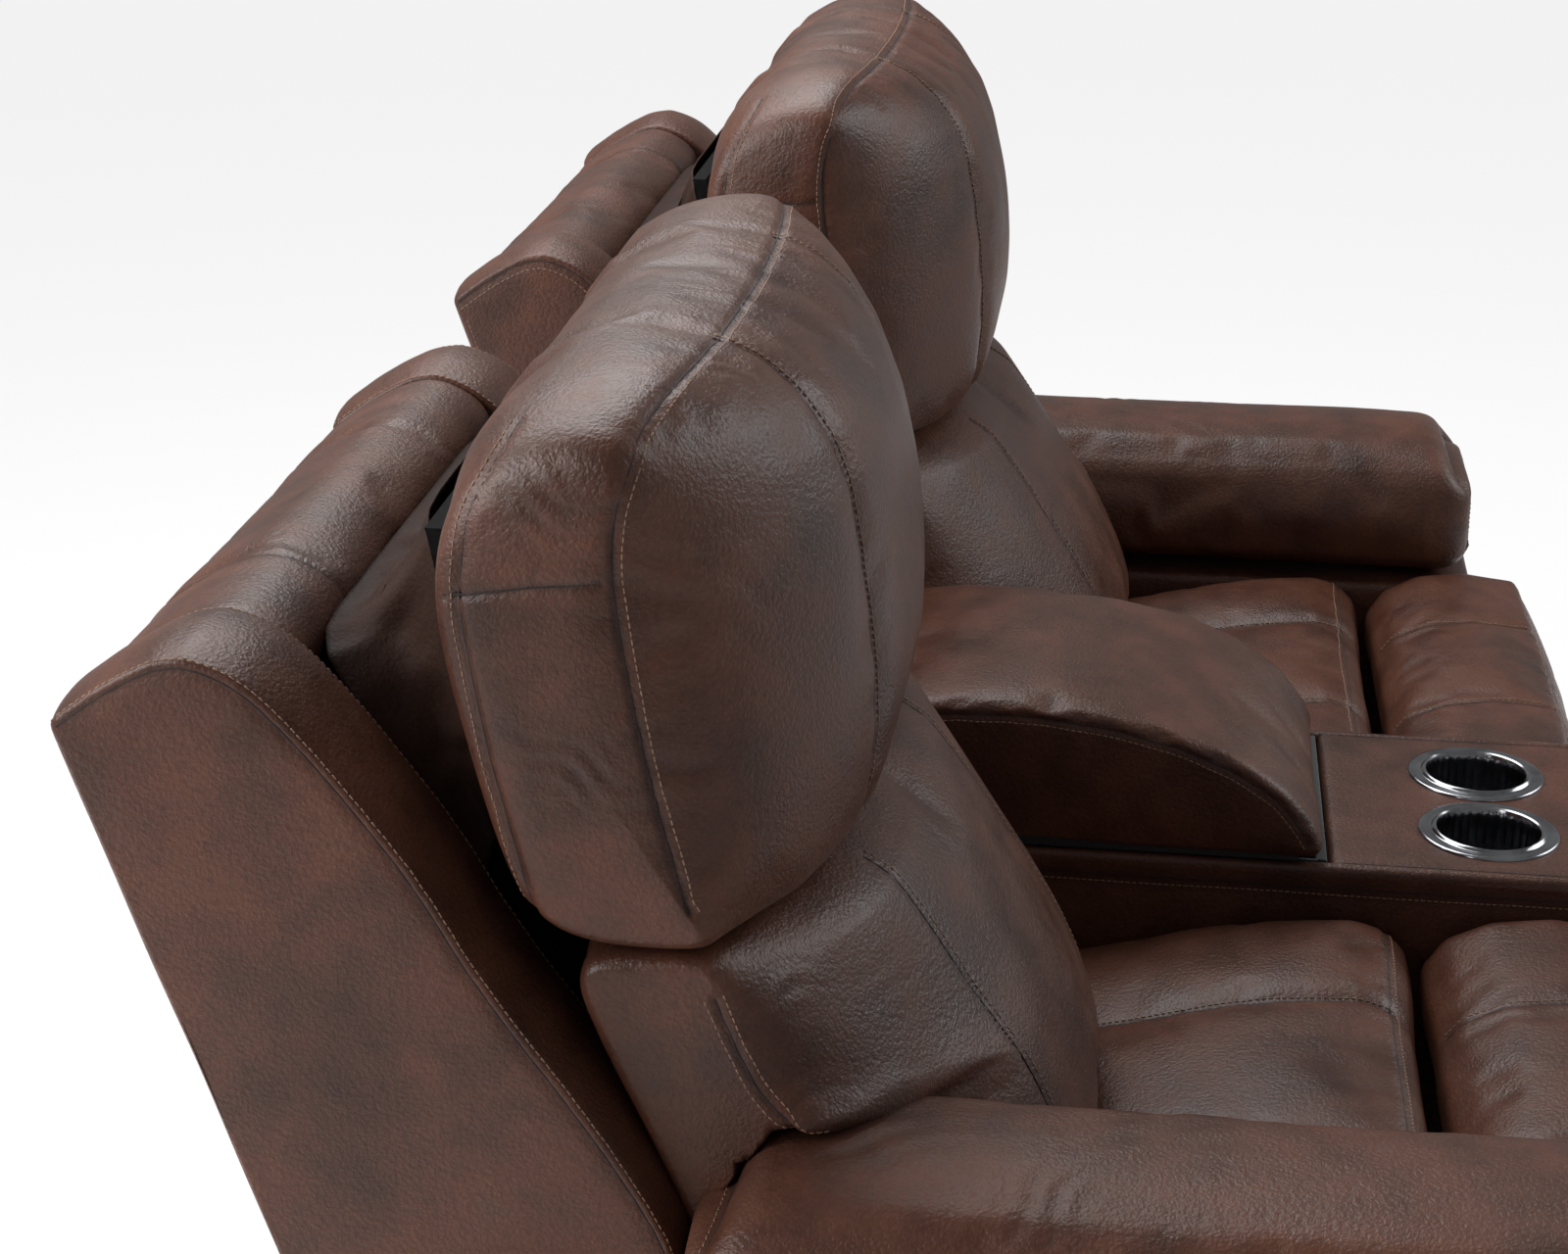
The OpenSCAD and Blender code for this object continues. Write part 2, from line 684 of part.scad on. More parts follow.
tube_r = 9; // radius of the tubes across the seat and across the headrest
board_in = 6; // how far a footrest board lies inside its pad
bracket_h = 120;
bracket_t = 14;

module right_upper_links() {
    color(steel) {
        both_sides() {
            difference() {
                bar_x([link_y, link_z], joint_b, seat_x0 + upper_d0, seat_x0 + upper_d1, link_eye_r);
                rod_x([link_y, link_z], seat_x0 + upper_d0 - cut, seat_x0 + upper_d1 + cut,
                      link_pin_r + pin_play);
            }
            rod_x(joint_b, seat_x0 + upper_d1 - 1, seat_x0 + lower_d1, link_pin_r);
        }
        tube = mix([link_y, link_z], joint_b, 0.25);
        rod_x(tube, seat_x0 + upper_d1 - 1, seat_x1 - upper_d1 + 1, tube_r);
    }
}
module left_upper_links() left() right_upper_links();

module right_lower_links() {
    color(steel) both_sides() {
        difference() {
            bar_x(joint_b, joint_c, seat_x0 + lower_d0, seat_x0 + lower_d1, link_eye_r);
            rod_x(joint_b, seat_x0 + lower_d0 - cut, seat_x0 + lower_d1 + cut, link_pin_r + pin_play);
        }
        rod_x(joint_c, seat_x0 + lower_d1 - 1, seat_x0 + tab_d1, link_pin_r);
    }
}
module left_lower_links() left() right_lower_links();

module right_footrest_board() {
    color(wood) block([seat_x0 + board_in, board_rear_y - board_t, footboard_low_z],
        [seat_x1 - board_in, board_rear_y, footboard_top_z]);
    color(steel) both_sides() difference() {
        union() {
            bar_x(joint_c, [board_rear_y + link_eye_r, joint_c[1]], seat_x0 + tab_d0, seat_x0 + tab_d1,
                  link_eye_r);
            block([seat_x0 + tab_d0, board_rear_y, joint_c[1] - bracket_h / 2],
                  [seat_x0 + tab_d1, board_rear_y + bracket_t, joint_c[1] + bracket_h / 2]);
        }
        rod_x(joint_c, seat_x0 + tab_d0 - cut, seat_x0 + tab_d1 + cut, link_pin_r + pin_play);
    }
}
module left_footrest_board() left() right_footrest_board();

module right_footrest_pad() {
    rear = seat_front_y - pad_gap;
    board = board_rear_y - board_t - soft_gap;
    lip = footboard_top_z + soft_gap;
    outline = rounded([[board, pad_low_z + 4], [board, lip], [board, lip], [rear, lip],
        [rear, seat_top_z - 32], [rear - 70, seat_top_z + 2], [pad_front_y, seat_top_z - 8],
        [pad_front_y, seat_top_z - 250],
        [pad_front_y + 8, pad_low_z + 40], [pad_front_y + 70, pad_low_z - 4]], 1);
    color(leather) padded(outline, function (z) seat_x0, function (z) seat_x1, [-1, 0], 14, 20, 0.08,
        0.42, channel_deep);
}
module left_footrest_pad() left() right_footrest_pad();

// Backs

ear_r = 22; // half the width of the steel arm on each recline pivot
plank = 30; // height of the boards across a back frame
post_deep = 60; // depth of a post at its foot
cross_y = [200, 262]; // board across the middle of a back, which carries the headrest motor
module back_post() {
    front = [for (p = back_line) p + [soft_gap, 0]];
    polygon(concat(front, [[head_y - 13, head_z + 2], [head_y - 2, head_z + 12], [head_y + 16, head_z + 12],
        [head_y + 132, head_z + 92], [head_y + 142, head_z + 60], [head_y + 62, head_z - 10]],
        [[back_line[0][0] + post_deep, back_line[0][1]]]));
}

module right_back_frame() {
    low = back_line[0];
    color(wood) {
        difference() {
            for (x = [post_x0, post_x1]) along_x(x, x + post_t) back_post();
            rod_x([head_y, head_z], post_x0 - 1, post_x1 + post_t + 1, head_pin_r + pin_play);
        }
        block([seat_x0 + ear_d0, low[0] + soft_gap, low[1] - plank],
              [seat_x1 - ear_d0, low[0] + post_deep - ear_r, low[1]]);
        block([wing_x0, cross_y[0], cross_z - plank], [wing_x1, cross_y[1], cross_z]);
        block([wing_x0, head_y + 110, head_z + 60], [wing_x1, head_y + 110 + plank, head_z + 85]);
    }
    color(steel) both_sides() difference() {
        bar_x([pivot_y, pivot_z], low + [ear_r, -ear_r] * 0.9, seat_x0 + ear_d0, seat_x0 + ear_d1, ear_r);
        rod_x([pivot_y, pivot_z], seat_x0 + ear_d0 - cut, seat_x0 + ear_d1 + cut, pivot_r + pin_play);
    }
}
module left_back_frame() left() right_back_frame();

// Side outline of a wing, which is the outline of the whole back
function wing_outline() = [[158, wing_low_z], [158, 600], [176, 636], [300, 828], [378, 942],
    [back_rear_y - 95, back_top_z], [back_rear_y, back_rear_z + 2], [back_rear_y, back_rear_z + 2],
    [wing_rear_y, wing_low_z], [wing_rear_y, wing_low_z]];

module right_back_shell() {
    wall = 18;
    color(leather) {
        for (x = [back_x0, wing_x1]) along_x(x, x + wing_w) polygon(rounded(wing_outline(), 2));
        along_x(back_x0, back_x1) polygon([[rear_low_y, shell_low_z], [wing_rear_y, wing_low_z],
            [back_rear_y, back_rear_z], [back_rear_y - wall, back_rear_z], [wing_rear_y - wall, wing_low_z],
            [rear_low_y - wall, shell_low_z]]);
        along_x(wing_x0 - 1, wing_x1 + 1) polygon(rounded([[back_rear_y - 108, back_top_z - 55],
            [back_rear_y - 100, back_top_z - 4], [back_rear_y - 70, back_top_z - 8],
            [back_rear_y, back_rear_z], [back_rear_y, back_rear_z], [back_rear_y - 20, back_rear_z - 50],
            [back_rear_y - 90, back_top_z - 82]], 1));
    }
}
module left_back_shell() left() right_back_shell();

module right_lumbar_cushion() {
    side_in = 8;
    f = lumbar_front_y;
    t = lumbar_top_z;
    over = arm_top_z + 2; // the cushion widens over the arm from this height
    wide = over + 30;
    outline = split_at(split_at(rounded(concat([[60, t - 2], [f + 115, t - 62], [f + 15, t - 202],
        [f, t - 290]], back_line, [[235, t]]), 2), over), wide);
    color(leather) padded(outline,
        function (z) mix(seat_x0, head_x0 - side_in, ease((z - 600) / 150)),
        function (z) mix(seat_x1, head_x1 - side_in, ease((z - over) / (wide - over))),
        [-1, 0], back_crown, 18, 0.08, 0.42, channel_deep, inset = [0.5, 0.75]);
}
module left_lumbar_cushion() left() right_lumbar_cushion();

// Headrests

eye_r = 14;
hang_t = 6; // thickness of the arms and of the lever
lever_x = 13;
lever_r = 7;
lever_pin_r = 4;
rod_dir = [sin(lumbar_lean), cos(lumbar_lean)];
motor_foot = rod_pin - rod_dir * ((rod_pin[1] - motor_foot_z - 14) / rod_dir[1]);
drive_r = 26;
drive_l = 85;
cross_z = motor_foot[1] - drive_r * sin(lumbar_lean) - slide_gap; // top of the board under the motor
sleeve_r = 14;
sleeve_l = 140;
rod_r = 7;
rod_start = drive_l;
module on_rod_line() {
    translate([seat_xc, motor_foot[0], motor_foot[1]]) rotate([-lumbar_lean, 0, 0]) children();
}
rod_top = norm(rod_pin - motor_foot) - lever_pin_r - slide_gap;

module right_headrest_motor() {
    color(black) on_rod_line() difference() {
        union() {
            cylinder(r = drive_r, h = drive_l);
            cylinder(r = sleeve_r, h = sleeve_l);
        }
        translate([0, 0, rod_start - sleeve_r - drive_r / 2]) cylinder(r = rod_r + pin_play, h = sleeve_l);
    }
}
module left_headrest_motor() left() right_headrest_motor();

module right_headrest_pushrod() {
    color("#8d9196") on_rod_line() translate([0, 0, rod_start]) cylinder(r = rod_r, h = rod_top - rod_start);
}
module left_headrest_pushrod() left() right_headrest_pushrod();

// Straight rear face of the headrest cushion, which its plate follows
head_rear = [[head_y + 2, head_z + 50], [head_y + 50, head_top_z - 104]];
function head_line(z) = mix(head_rear[0], head_rear[1],
    (z - head_rear[0][1]) / (head_rear[1][1] - head_rear[0][1]));
module right_headrest_frame() {
    x0 = post_x0 + post_t;
    x1 = post_x1;
    plate0 = head_line(head_z + 24) + [soft_gap, 0];
    plate1 = head_rear[1] + [soft_gap, 0];
    centre = (head_x0 + head_x1) / 2;
    half = (head_x1 - head_x0) / 2 - 85;
    pivot = [head_y, head_z];
    color(steel) {
        along_x(centre - half, centre + half)
            polygon([plate0, plate0 + [head_plate_t, 0], plate1 + [head_plate_t, 0], plate1]);
        for (x = [x0 + 2, x1 - 2 - hang_t]) {
            rod_x(pivot, x, x + hang_t, eye_r);
            along_x(x, x + hang_t) polygon([pivot + [-5, 0], pivot + [13, -4],
                head_line(head_z + 136) + [head_plate_t + 4, 0],
                head_line(head_z + 76) + [head_plate_t - 3, 0]]);
        }
        rod_x(pivot, post_x0, x0 + 3, head_pin_r);
        rod_x(pivot, x1 - 3, x1 + post_t, head_pin_r);
        rod_x(pivot, x0 + 3, x1 - 3, tube_r);
        for (s = [-1, 1]) translate([seat_xc + s * lever_x, 0, 0])
            bar_x(pivot, rod_pin, -hang_t / 2, hang_t / 2, lever_r);
        rod_x(rod_pin, seat_xc - lever_x, seat_xc + lever_x, lever_pin_r);
    }
}
module left_headrest_frame() left() right_headrest_frame();

module right_headrest_cushion() {
    f = head_front_y;
    t = head_top_z;
    low = head_z + 6;
    outline = rounded([[f + 5, low + 24], [f, mix(low, t, 0.293)], [f + 50, t - 114], [f + 115, t - 14],
        [head_y - 28, t], [head_y + 32, t - 34], head_rear[1], head_rear[0], head_line(low),
        [head_y - 68, low], [f + 25, low + 6]], 1);
    color(leather) padded([for (i = [len(outline) - 1 : -1 : 0]) outline[i]], function (z) head_x0,
        function (z) head_x1, [-1, 0], back_crown - 10, 30, 0.1, 0.42, channel_deep);
}
module left_headrest_cushion() left() right_headrest_cushion();

module right_headrest_gusset() {
    a = head_rear[1] + [16, -12];
    b = [back_rear_y - 112, back_top_z - 48];
    sag = (a + b) / 2 - [0, 28];
    thick = [0, 4];
    color(leather_dark) along_x(wing_x0 + soft_gap, wing_x1 - soft_gap)
        polygon([a, sag, b, b - thick, sag - thick, a - thick]);
}
module left_headrest_gusset() left() right_headrest_gusset();

base_rails();
feet();
rear_panel();
power_inlet();
power_supply();
console_box();
console_deck();
left_cup_holder();
right_cup_holder();
lid_hinge_base();
lid_hinge_leaf();
lid_board();
lid_pad();
left_arm_frame();
right_arm_frame();
left_arm_pad();
right_arm_pad();
left_switch_plate();
right_switch_plate();
left_recline_rocker();
right_recline_rocker();
left_headrest_rocker();
right_headrest_rocker();
left_recline_motor();
right_recline_motor();
left_drive_nut();
right_drive_nut();
left_side_plates();
right_side_plates();
left_seat_box();
right_seat_box();
left_seat_webbing();
right_seat_webbing();
left_seat_cushion();
right_seat_cushion();
left_upper_links();
right_upper_links();
left_lower_links();
right_lower_links();
left_footrest_board();
right_footrest_board();
left_footrest_pad();
right_footrest_pad();
left_back_frame();
right_back_frame();
left_back_shell();
right_back_shell();
left_lumbar_cushion();
right_lumbar_cushion();
left_headrest_motor();
right_headrest_motor();
left_headrest_pushrod();
right_headrest_pushrod();
left_headrest_frame();
right_headrest_frame();
left_headrest_cushion();
right_headrest_cushion();
left_headrest_gusset();
right_headrest_gusset();
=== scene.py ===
# %% [markdown]
# # A reclining loveseat in brown leather
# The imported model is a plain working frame. This lesson dresses it: each cushion becomes a
# stuffed leather cover with seams, and each hard part gets the finish of its real material.

# %% Load the frame
import json
import math
import bmesh
import bpy
import numpy as np
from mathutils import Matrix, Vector
from mathutils.bvhtree import BVHTree

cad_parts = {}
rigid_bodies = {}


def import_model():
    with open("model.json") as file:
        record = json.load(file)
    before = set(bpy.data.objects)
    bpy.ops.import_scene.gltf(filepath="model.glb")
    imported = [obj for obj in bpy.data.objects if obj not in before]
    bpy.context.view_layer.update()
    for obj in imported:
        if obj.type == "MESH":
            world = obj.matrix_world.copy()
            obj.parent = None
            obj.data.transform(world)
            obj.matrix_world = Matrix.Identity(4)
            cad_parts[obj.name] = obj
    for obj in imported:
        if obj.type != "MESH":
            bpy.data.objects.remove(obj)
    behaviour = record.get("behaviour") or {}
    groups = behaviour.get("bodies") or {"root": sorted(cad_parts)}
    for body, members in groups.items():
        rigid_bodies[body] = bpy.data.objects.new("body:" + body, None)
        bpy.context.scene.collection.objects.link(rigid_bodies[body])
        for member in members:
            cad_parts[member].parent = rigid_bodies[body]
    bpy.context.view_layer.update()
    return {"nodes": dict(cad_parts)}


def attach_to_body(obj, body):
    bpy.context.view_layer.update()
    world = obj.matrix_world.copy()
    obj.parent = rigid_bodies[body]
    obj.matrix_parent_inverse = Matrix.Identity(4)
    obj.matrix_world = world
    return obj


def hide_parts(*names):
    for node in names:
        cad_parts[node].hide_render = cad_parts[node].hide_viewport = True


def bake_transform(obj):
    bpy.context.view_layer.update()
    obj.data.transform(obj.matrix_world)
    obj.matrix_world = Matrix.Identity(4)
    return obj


bpy.context.preferences.edit.use_global_undo = False
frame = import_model()

# %% [markdown]
# Sizes are written in millimetres, as on a workshop drawing, and made metres when a mesh is
# built. The right-hand pieces are drawn, and a left-hand one is the same list with X turned over.

# %% Main sizes in millimetres
MM = 0.001
SEAT_X = (159.0, 684.0)
BACK_X = (155.0, 864.0)
HEAD_X = (181.0, 838.0)
WING_W = 95.0
SEAM_AT = 0.42        # the front seams, as a share of the way from the middle to a side
SEAM_DIP = 0.035      # how wide a valley such a seam lies in, as the same share
DROOP_FROM, DROOP_OVER = 980, 160
SIDES = {"right": 1, "left": -1}

# %% [markdown]
# Colours come from swatches written as sRGB hex, and Cycles wants linear light, so one function
# turns one into the other. A second small function adds a shader node and wires it up.

# %% Colour and node helpers
def linear(code):
    """Turns an sRGB hex colour into the linear RGBA that a shader socket takes."""
    parts = [int(code[i:i + 2], 16) / 255 for i in (1, 3, 5)]
    return [c / 12.92 if c <= 0.04045 else ((c + 0.055) / 1.055) ** 2.4 for c in parts] + [1.0]


def add_node(tree, kind, inputs=None, out=0, **settings):
    """Adds one node and returns an output; an input is a plain value or a node's output."""
    made = tree.nodes.new("ShaderNode" + kind)
    for key, value in settings.items():
        setattr(made, key, value)
    for key, value in (inputs or {}).items():
        if isinstance(value, bpy.types.NodeSocket):
            tree.links.new(value, made.inputs[key])
        else:
            made.inputs[key].default_value = value
    return made.outputs[out] if made.outputs else None


def new_material(name, roughness, metallic=0.0, **sockets):
    """A node material with its plain numbers set on the shader's own sockets."""
    made = bpy.data.materials.new(name)
    made.use_nodes = True
    shader = made.node_tree.nodes["Principled BSDF"]
    for key, value in dict(sockets, Roughness=roughness, Metallic=metallic).items():
        shader.inputs[key.replace("_", " ")].default_value = value
    return made, made.node_tree, shader, add_node(made.node_tree, "TexCoord", out="Object")


def attach(shader, **outputs):
    """Links node outputs to the shader's sockets."""
    for key, output in outputs.items():
        shader.id_data.links.new(output, shader.inputs[key.replace("_", " ")])


def ramp(tree, factor, stops):
    """A colour ramp from positions and hex colours."""
    colour = add_node(tree, "ValToRGB", {"Fac": factor})
    band = colour.node.color_ramp
    while len(band.elements) < len(stops):
        band.elements.new(0.5)
    for element, (position, code) in zip(band.elements, stops):
        element.position = position
        element.color = linear(code)
    return colour


def per_metre(size_mm):
    """The Scale value of a texture whose features are this many millimetres apart."""
    return 1000.0 / size_mm

# %% [markdown]
# ## Leather
# The covers are top-grain cowhide with a hand-rubbed two-tone finish: a dark cool brown is wiped
# over a warmer one, so the colour clouds softly over 60 to 200 mm. The surface is a satin lacquer
# over a pebble grain of about 2 mm, drawn at 3 mm so that it shows, with fine crease lines 7 mm
# apart where the hide is loose. Grooves near the seams and other hollows get painted shade, and
# the tops of folds get a painted highlight, which two point attributes carry. The first line gives
# each pattern's size in millimetres.

# %% Leather material
CLOUD, BLOTCH, GRAIN, PORES, CREASE = 170, 48, 3.0, 1.5, 7


def leather(name, deep, body, warm, cool, gloss=0.38, shine=0.31, coat=0.04):
    """Two-tone leather in four hex tones; the end ones double as painted shade and painted
    highlight.
    """
    made, tree, shader, place = new_material(name, gloss, Coat_Weight=coat, Coat_Roughness=0.3,
                                             Specular_IOR_Level=shine)
    cloud = add_node(tree, "TexNoise", {"Vector": place, "Scale": per_metre(CLOUD),
                     "Detail": 3.0, "Roughness": 0.5, "Distortion": 0.3})
    blotch = add_node(tree, "TexNoise", {"Vector": place, "Scale": per_metre(BLOTCH),
                      "Detail": 4.0, "Roughness": 0.55})
    both = add_node(tree, "Math", {0: cloud, 1: blotch}, operation="ADD")
    half = add_node(tree, "Math", {0: both, 1: 0.5}, operation="MULTIPLY")
    tone = ramp(tree, half, [(0.24, deep), (0.43, body), (0.60, warm), (0.80, cool)])
    grain = add_node(tree, "TexVoronoi", {"Vector": place, "Scale": per_metre(GRAIN),
                     "Randomness": 1.0}, feature="SMOOTH_F1")
    pores = add_node(tree, "TexNoise", {"Vector": place, "Scale": per_metre(PORES),
                     "Detail": 2.0})
    fleck = add_node(tree, "MapRange", {"Value": grain, "From Min": 0.15, "From Max": 0.8,
                     "To Min": 1.10, "To Max": 0.82})
    colour = add_node(tree, "Mix", {6: tone, 7: fleck, "Factor": 1.0}, out=2,
                      data_type="RGBA", blend_type="MULTIPLY")
    # Painted shade in grooves and hollows, and a painted highlight on ridges, from two point
    # attributes
    for label, shade in (("hollow", deep), ("rubbed", cool)):
        share = add_node(tree, "Attribute", out="Fac", attribute_name=label)
        colour = add_node(tree, "Mix", {6: colour, 7: linear(shade), "Factor": share}, out=2,
                          data_type="RGBA")
    stretched = add_node(tree, "Mapping", {"Vector": place, "Scale": (0.22, 0.7, 1.0),
                         "Rotation": (0.5, 0.3, 0.6)})
    lines = add_node(tree, "TexNoise", {"Vector": stretched, "Scale": per_metre(CREASE),
                     "Detail": 2.0, "Roughness": 0.5, "Distortion": 0.6})
    loose = add_node(tree, "MapRange", {"Value": cloud, "From Min": 0.42, "From Max": 0.62,
                     "To Min": 0.3, "To Max": 0.7})
    height = add_node(tree, "Math", {0: grain, 1: pores}, operation="SUBTRACT")
    lines = add_node(tree, "Math", {0: lines, 1: loose}, operation="MULTIPLY")
    height = add_node(tree, "Math", {0: height, 1: lines}, operation="SUBTRACT")
    bump = add_node(tree, "Bump", {"Height": height, "Strength": 0.5, "Distance": 0.0010},
                    invert=True)
    uneven = add_node(tree, "MapRange", {"Value": blotch, "From Min": 0.3, "From Max": 0.7,
                      "To Min": gloss - 0.06, "To Max": gloss + 0.08})
    attach(shader, Base_Color=colour, Normal=bump, Roughness=uneven)
    return made


HIDE = leather("top_grain_leather", "#2b1a14", "#44291f", "#563426", "#4e372d")
# A darker, duller copy of the same leather: painted shade for the gussets and the back frame
SHADED_HIDE = leather("gusset_leather", "#160e0b", "#281913", "#301e17", "#33241d", 0.7,
                     shine=0.15, coat=0.0)
print("leathers", HIDE.name, SHADED_HIDE.name)

# %% [markdown]
# ## Sewing thread and seam line
# Seams are topstitched with a bonded tan-brown thread, and the shade in the join is painted as a
# dark line.
# Thread is a tight twist, so it has a soft sheen and a stripe much finer than a pixel.

# %% Thread and seam-line materials
def plain(name, low, high, size_mm, roughness, metallic=0.0, height=0.0001, **sockets):
    """A finish with two close tones and a fine bump, for thread, plastic, paint and cloth."""
    made, tree, shader, place = new_material(name, roughness, metallic, **sockets)
    mottle = add_node(tree, "TexNoise", {"Vector": place, "Scale": per_metre(size_mm),
                      "Detail": 3.0})
    attach(shader, Base_Color=ramp(tree, mottle, [(0.35, low), (0.65, high)]),
           Normal=add_node(tree, "Bump", {"Height": mottle, "Strength": 0.4,
                                          "Distance": height}))
    return made


THREAD = plain("bonded_thread", "#6a4f3f", "#8f715b", 1.5, 0.6)
# Near-black painted shade for the crevice of each seam
SEAM_SHADE = plain("seam_gap", "#140c0a", "#1e1310", 3, 0.8)
print("sewing finishes", THREAD.name, SEAM_SHADE.name)

# %% [markdown]
# ## How a cover is built
# Each cushion is a loft, as in the frame: a side outline in Y and Z is swept along X, drawn in at
# its ends and drawn back towards its corners. An arm pad's outline is swept along Y instead. The
# mesh follows the cut of the leather, with a row or column of points on most seams, so that the
# cloth simulation can hold the seams while the panels between them swell.

# %% Outline helpers
def rounded(points, rounds):
    """Cuts the corners of a closed outline; a doubled point stays sharp."""
    p = np.array(points, float)
    for _ in range(rounds):
        q = np.roll(p, -1, axis=0)
        p = np.stack([0.75 * p + 0.25 * q, 0.25 * p + 0.75 * q], axis=1).reshape(-1, 2)
    return p


def even(points, step):
    """Spaces the points of a closed outline evenly, about step millimetres apart."""
    p = np.vstack([points, points[:1]])
    gone = np.concatenate([[0], np.cumsum(np.linalg.norm(np.diff(p, axis=0), axis=1))])
    count = int(round(gone[-1] / step))
    at = np.linspace(0, gone[-1], count, endpoint=False)
    return np.stack([np.interp(at, gone, p[:, k]) for k in (0, 1)], axis=1)


def drawn_in(p, d):
    """Moves an anticlockwise outline inwards by d."""
    along = np.roll(p, -1, axis=0) - np.roll(p, 1, axis=0)
    along /= np.maximum(np.linalg.norm(along, axis=1, keepdims=True), 1e-6)
    return p + d * np.stack([-along[:, 1], along[:, 0]], axis=1)


def ease(t):
    t = np.clip(t, 0, 1)
    return t * t * (3 - 2 * t)


def mix(a, b, t):
    return a + (b - a) * t


def drawn_to(line, y, soft=9.0):
    """How far a point at y is drawn back to a line; points behind the line hardly move."""
    half = (line - y) / 2
    return half + math.sqrt(half * half + soft * soft) - 2.0


# %% [markdown]
# Stations along the sweep crowd together in the rounded ends, and one falls on each seam.
# The end caps are rings that shrink to the middle of the end.

# %% The loft
def stations(length, edge, seam, step):
    """Stations from -1 to 1 with one at each seam and five around each rounded end."""
    inner = 1 - edge
    bends = [inner + edge * math.sin(math.radians(a)) for a in (22, 42, 60, 76, 90)]

    def run(a, b):
        count = max(2, int(round((b - a) * length / 2 / step)))
        return list(np.linspace(a, b, count, endpoint=False))

    half = run(0, seam) + run(seam, inner) + [inner] + bends
    return np.array([-u for u in half[:0:-1]] + half)


def rule(value):
    """A limit as a function of the place: a plain number is the same everywhere."""
    return value if callable(value) else lambda z, y: value


def cap_rings(ring, limit, way, axis, middle, caps, bulge):
    """Rings that shrink from the end of a sweep to the middle of that end."""
    centre = ring.mean(axis=0)
    if middle is not None:
        centre[[0, 2] if axis else [1, 2]] = middle
    made = []
    for j in range(1, caps + 1):
        r = 1 - j / caps
        inner = centre + (ring - centre) * r if j < caps else centre[None, :].copy()
        inner[:, axis] = [limit(z, y) for y, z in inner[:, 1:]]
        inner[:, axis] += way * bulge * (1 - r ** 4)
        made.append(inner)
    return made


def skin(parts, n, starts, axis):
    """Faces between rings that follow each other; a single point closes each end."""
    faces = []
    for a in range(len(parts) - 1):
        for i in range(n):
            j = (i + 1) % n
            if len(parts[a]) == 1:
                quad = [starts[a], starts[a + 1] + i, starts[a + 1] + j]
            elif len(parts[a + 1]) == 1:
                quad = [starts[a] + j, starts[a] + i, starts[a + 1]]
            else:
                quad = [starts[a] + i, starts[a + 1] + i, starts[a + 1] + j, starts[a] + j]
            faces.append([int(v) for v in (quad if axis else quad[::-1])])
    return faces


class Cover:
    """A lofted leather cover: its points in millimetres, its faces and where its seams run."""

    def __init__(self, outline, low, high, face, crown, radius, edge, step=8.0, seam=SEAM_AT,
                 axis=0, caps=9, bulge=0.0, middle=None, deep=0.0, puff=0.0, wide=None,
                 droop=0.0, soft_ends=0):
        low, high = rule(low), rule(high)
        p = even(outline, step)
        n = len(p)
        face = np.array(face, float)
        mid = (p.min(axis=0) + p.max(axis=0)) / 2
        ahead = (p - mid) @ face
        lean = np.ones(n) if callable(crown) else np.clip(ahead / ahead.max(), 0, 1)
        crowns = np.array([rule(crown)(z, y) for y, z in p])
        bend = np.array([rule(radius)(z, y) for y, z in p])
        length = abs(high(mid[1], mid[0]) - low(mid[1], mid[0]))
        span = bend / (length / 2) if callable(radius) else np.full(n, edge)
        full = p - face * (lean * crowns)[:, None]
        self.us = stations(length, span.max(), seam, step)
        rings = []
        for u in self.us:
            t = np.clip((abs(u) - 1 + span) / span, 0, 1)
            inward = bend * (1 - np.sqrt(1 - t * t)) - puff * (1 - u * u)
            place = np.array([mix(low(z, y), high(z, y), (u + 1) / 2) for y, z in full])
            away = np.abs(place - wide[0]) / wide[1] if wide else abs(u)
            back = crowns * away ** 3 + deep * math.exp(-((abs(u) - seam) / SEAM_DIP) ** 2)
            ring = drawn_in(p, inward[:, None]) - face * (lean * back)[:, None]
            ring[:, 1] -= droop * u ** 8 * ease((ring[:, 1] - DROOP_FROM) / DROOP_OVER)
            for _ in range(int(soft_ends * ease((abs(u) - 0.7) / 0.3))):
                ring = (np.roll(ring, 1, axis=0) + 2 * ring + np.roll(ring, -1, axis=0)) / 4
            rings.append(np.insert(ring, axis, place, axis=1))
        first = cap_rings(rings[0], low, -1, axis, middle, caps, bulge)
        last = cap_rings(rings[-1], high, 1, axis, middle, caps, bulge)
        parts = first[::-1] + rings + last
        starts = np.cumsum([0] + [len(q) for q in parts])
        self.outline, self.n, self.rows, self.last = p, n, len(rings), len(rings) - 1
        self.co, self.faces = np.vstack(parts), skin(parts, n, starts, axis)
        self.grid0, self.grid1 = int(starts[caps]), int(starts[caps + self.rows])

    def row(self, point):
        """The index around the outline that lies nearest to a (Y, Z) point."""
        return int(np.argmin(np.linalg.norm(self.outline - np.array(point), axis=1)))

    def column(self, u):
        """The station nearest to u."""
        return int(np.argmin(np.abs(self.us - u)))

    def ids(self, column, start, end):
        """Points of one station from one place on the outline to another, the way it turns."""
        count = (end - start) % self.n
        return [self.grid0 + column * self.n + (start + k) % self.n for k in range(count + 1)]

    def across(self, row):
        """Points of one row from the first station to the last."""
        return [self.grid0 + c * self.n + row for c in range(self.rows)]

    def band(self, start, end, columns=None):
        """Points from one place on the outline to another at some stations, or at all."""
        chosen = range(self.rows) if columns is None else columns
        return {i for c in chosen for i in self.ids(c, start, end)}

    def ends(self):
        """Points of both end caps and of the first and last station."""
        caps = set(range(self.grid0)) | set(range(self.grid1, len(self.co)))
        return caps | self.band(0, self.n - 1, (0, self.last))

# %% [markdown]
# ## Stuffing the covers
# A short cloth simulation under pressure swells the panels, with the seams and the sides that rest
# on the frame held still. The leather is let out by a little over half a percent, so that it
# goes slack beside the seams, as real upholstery does. No point may move further than a cap.

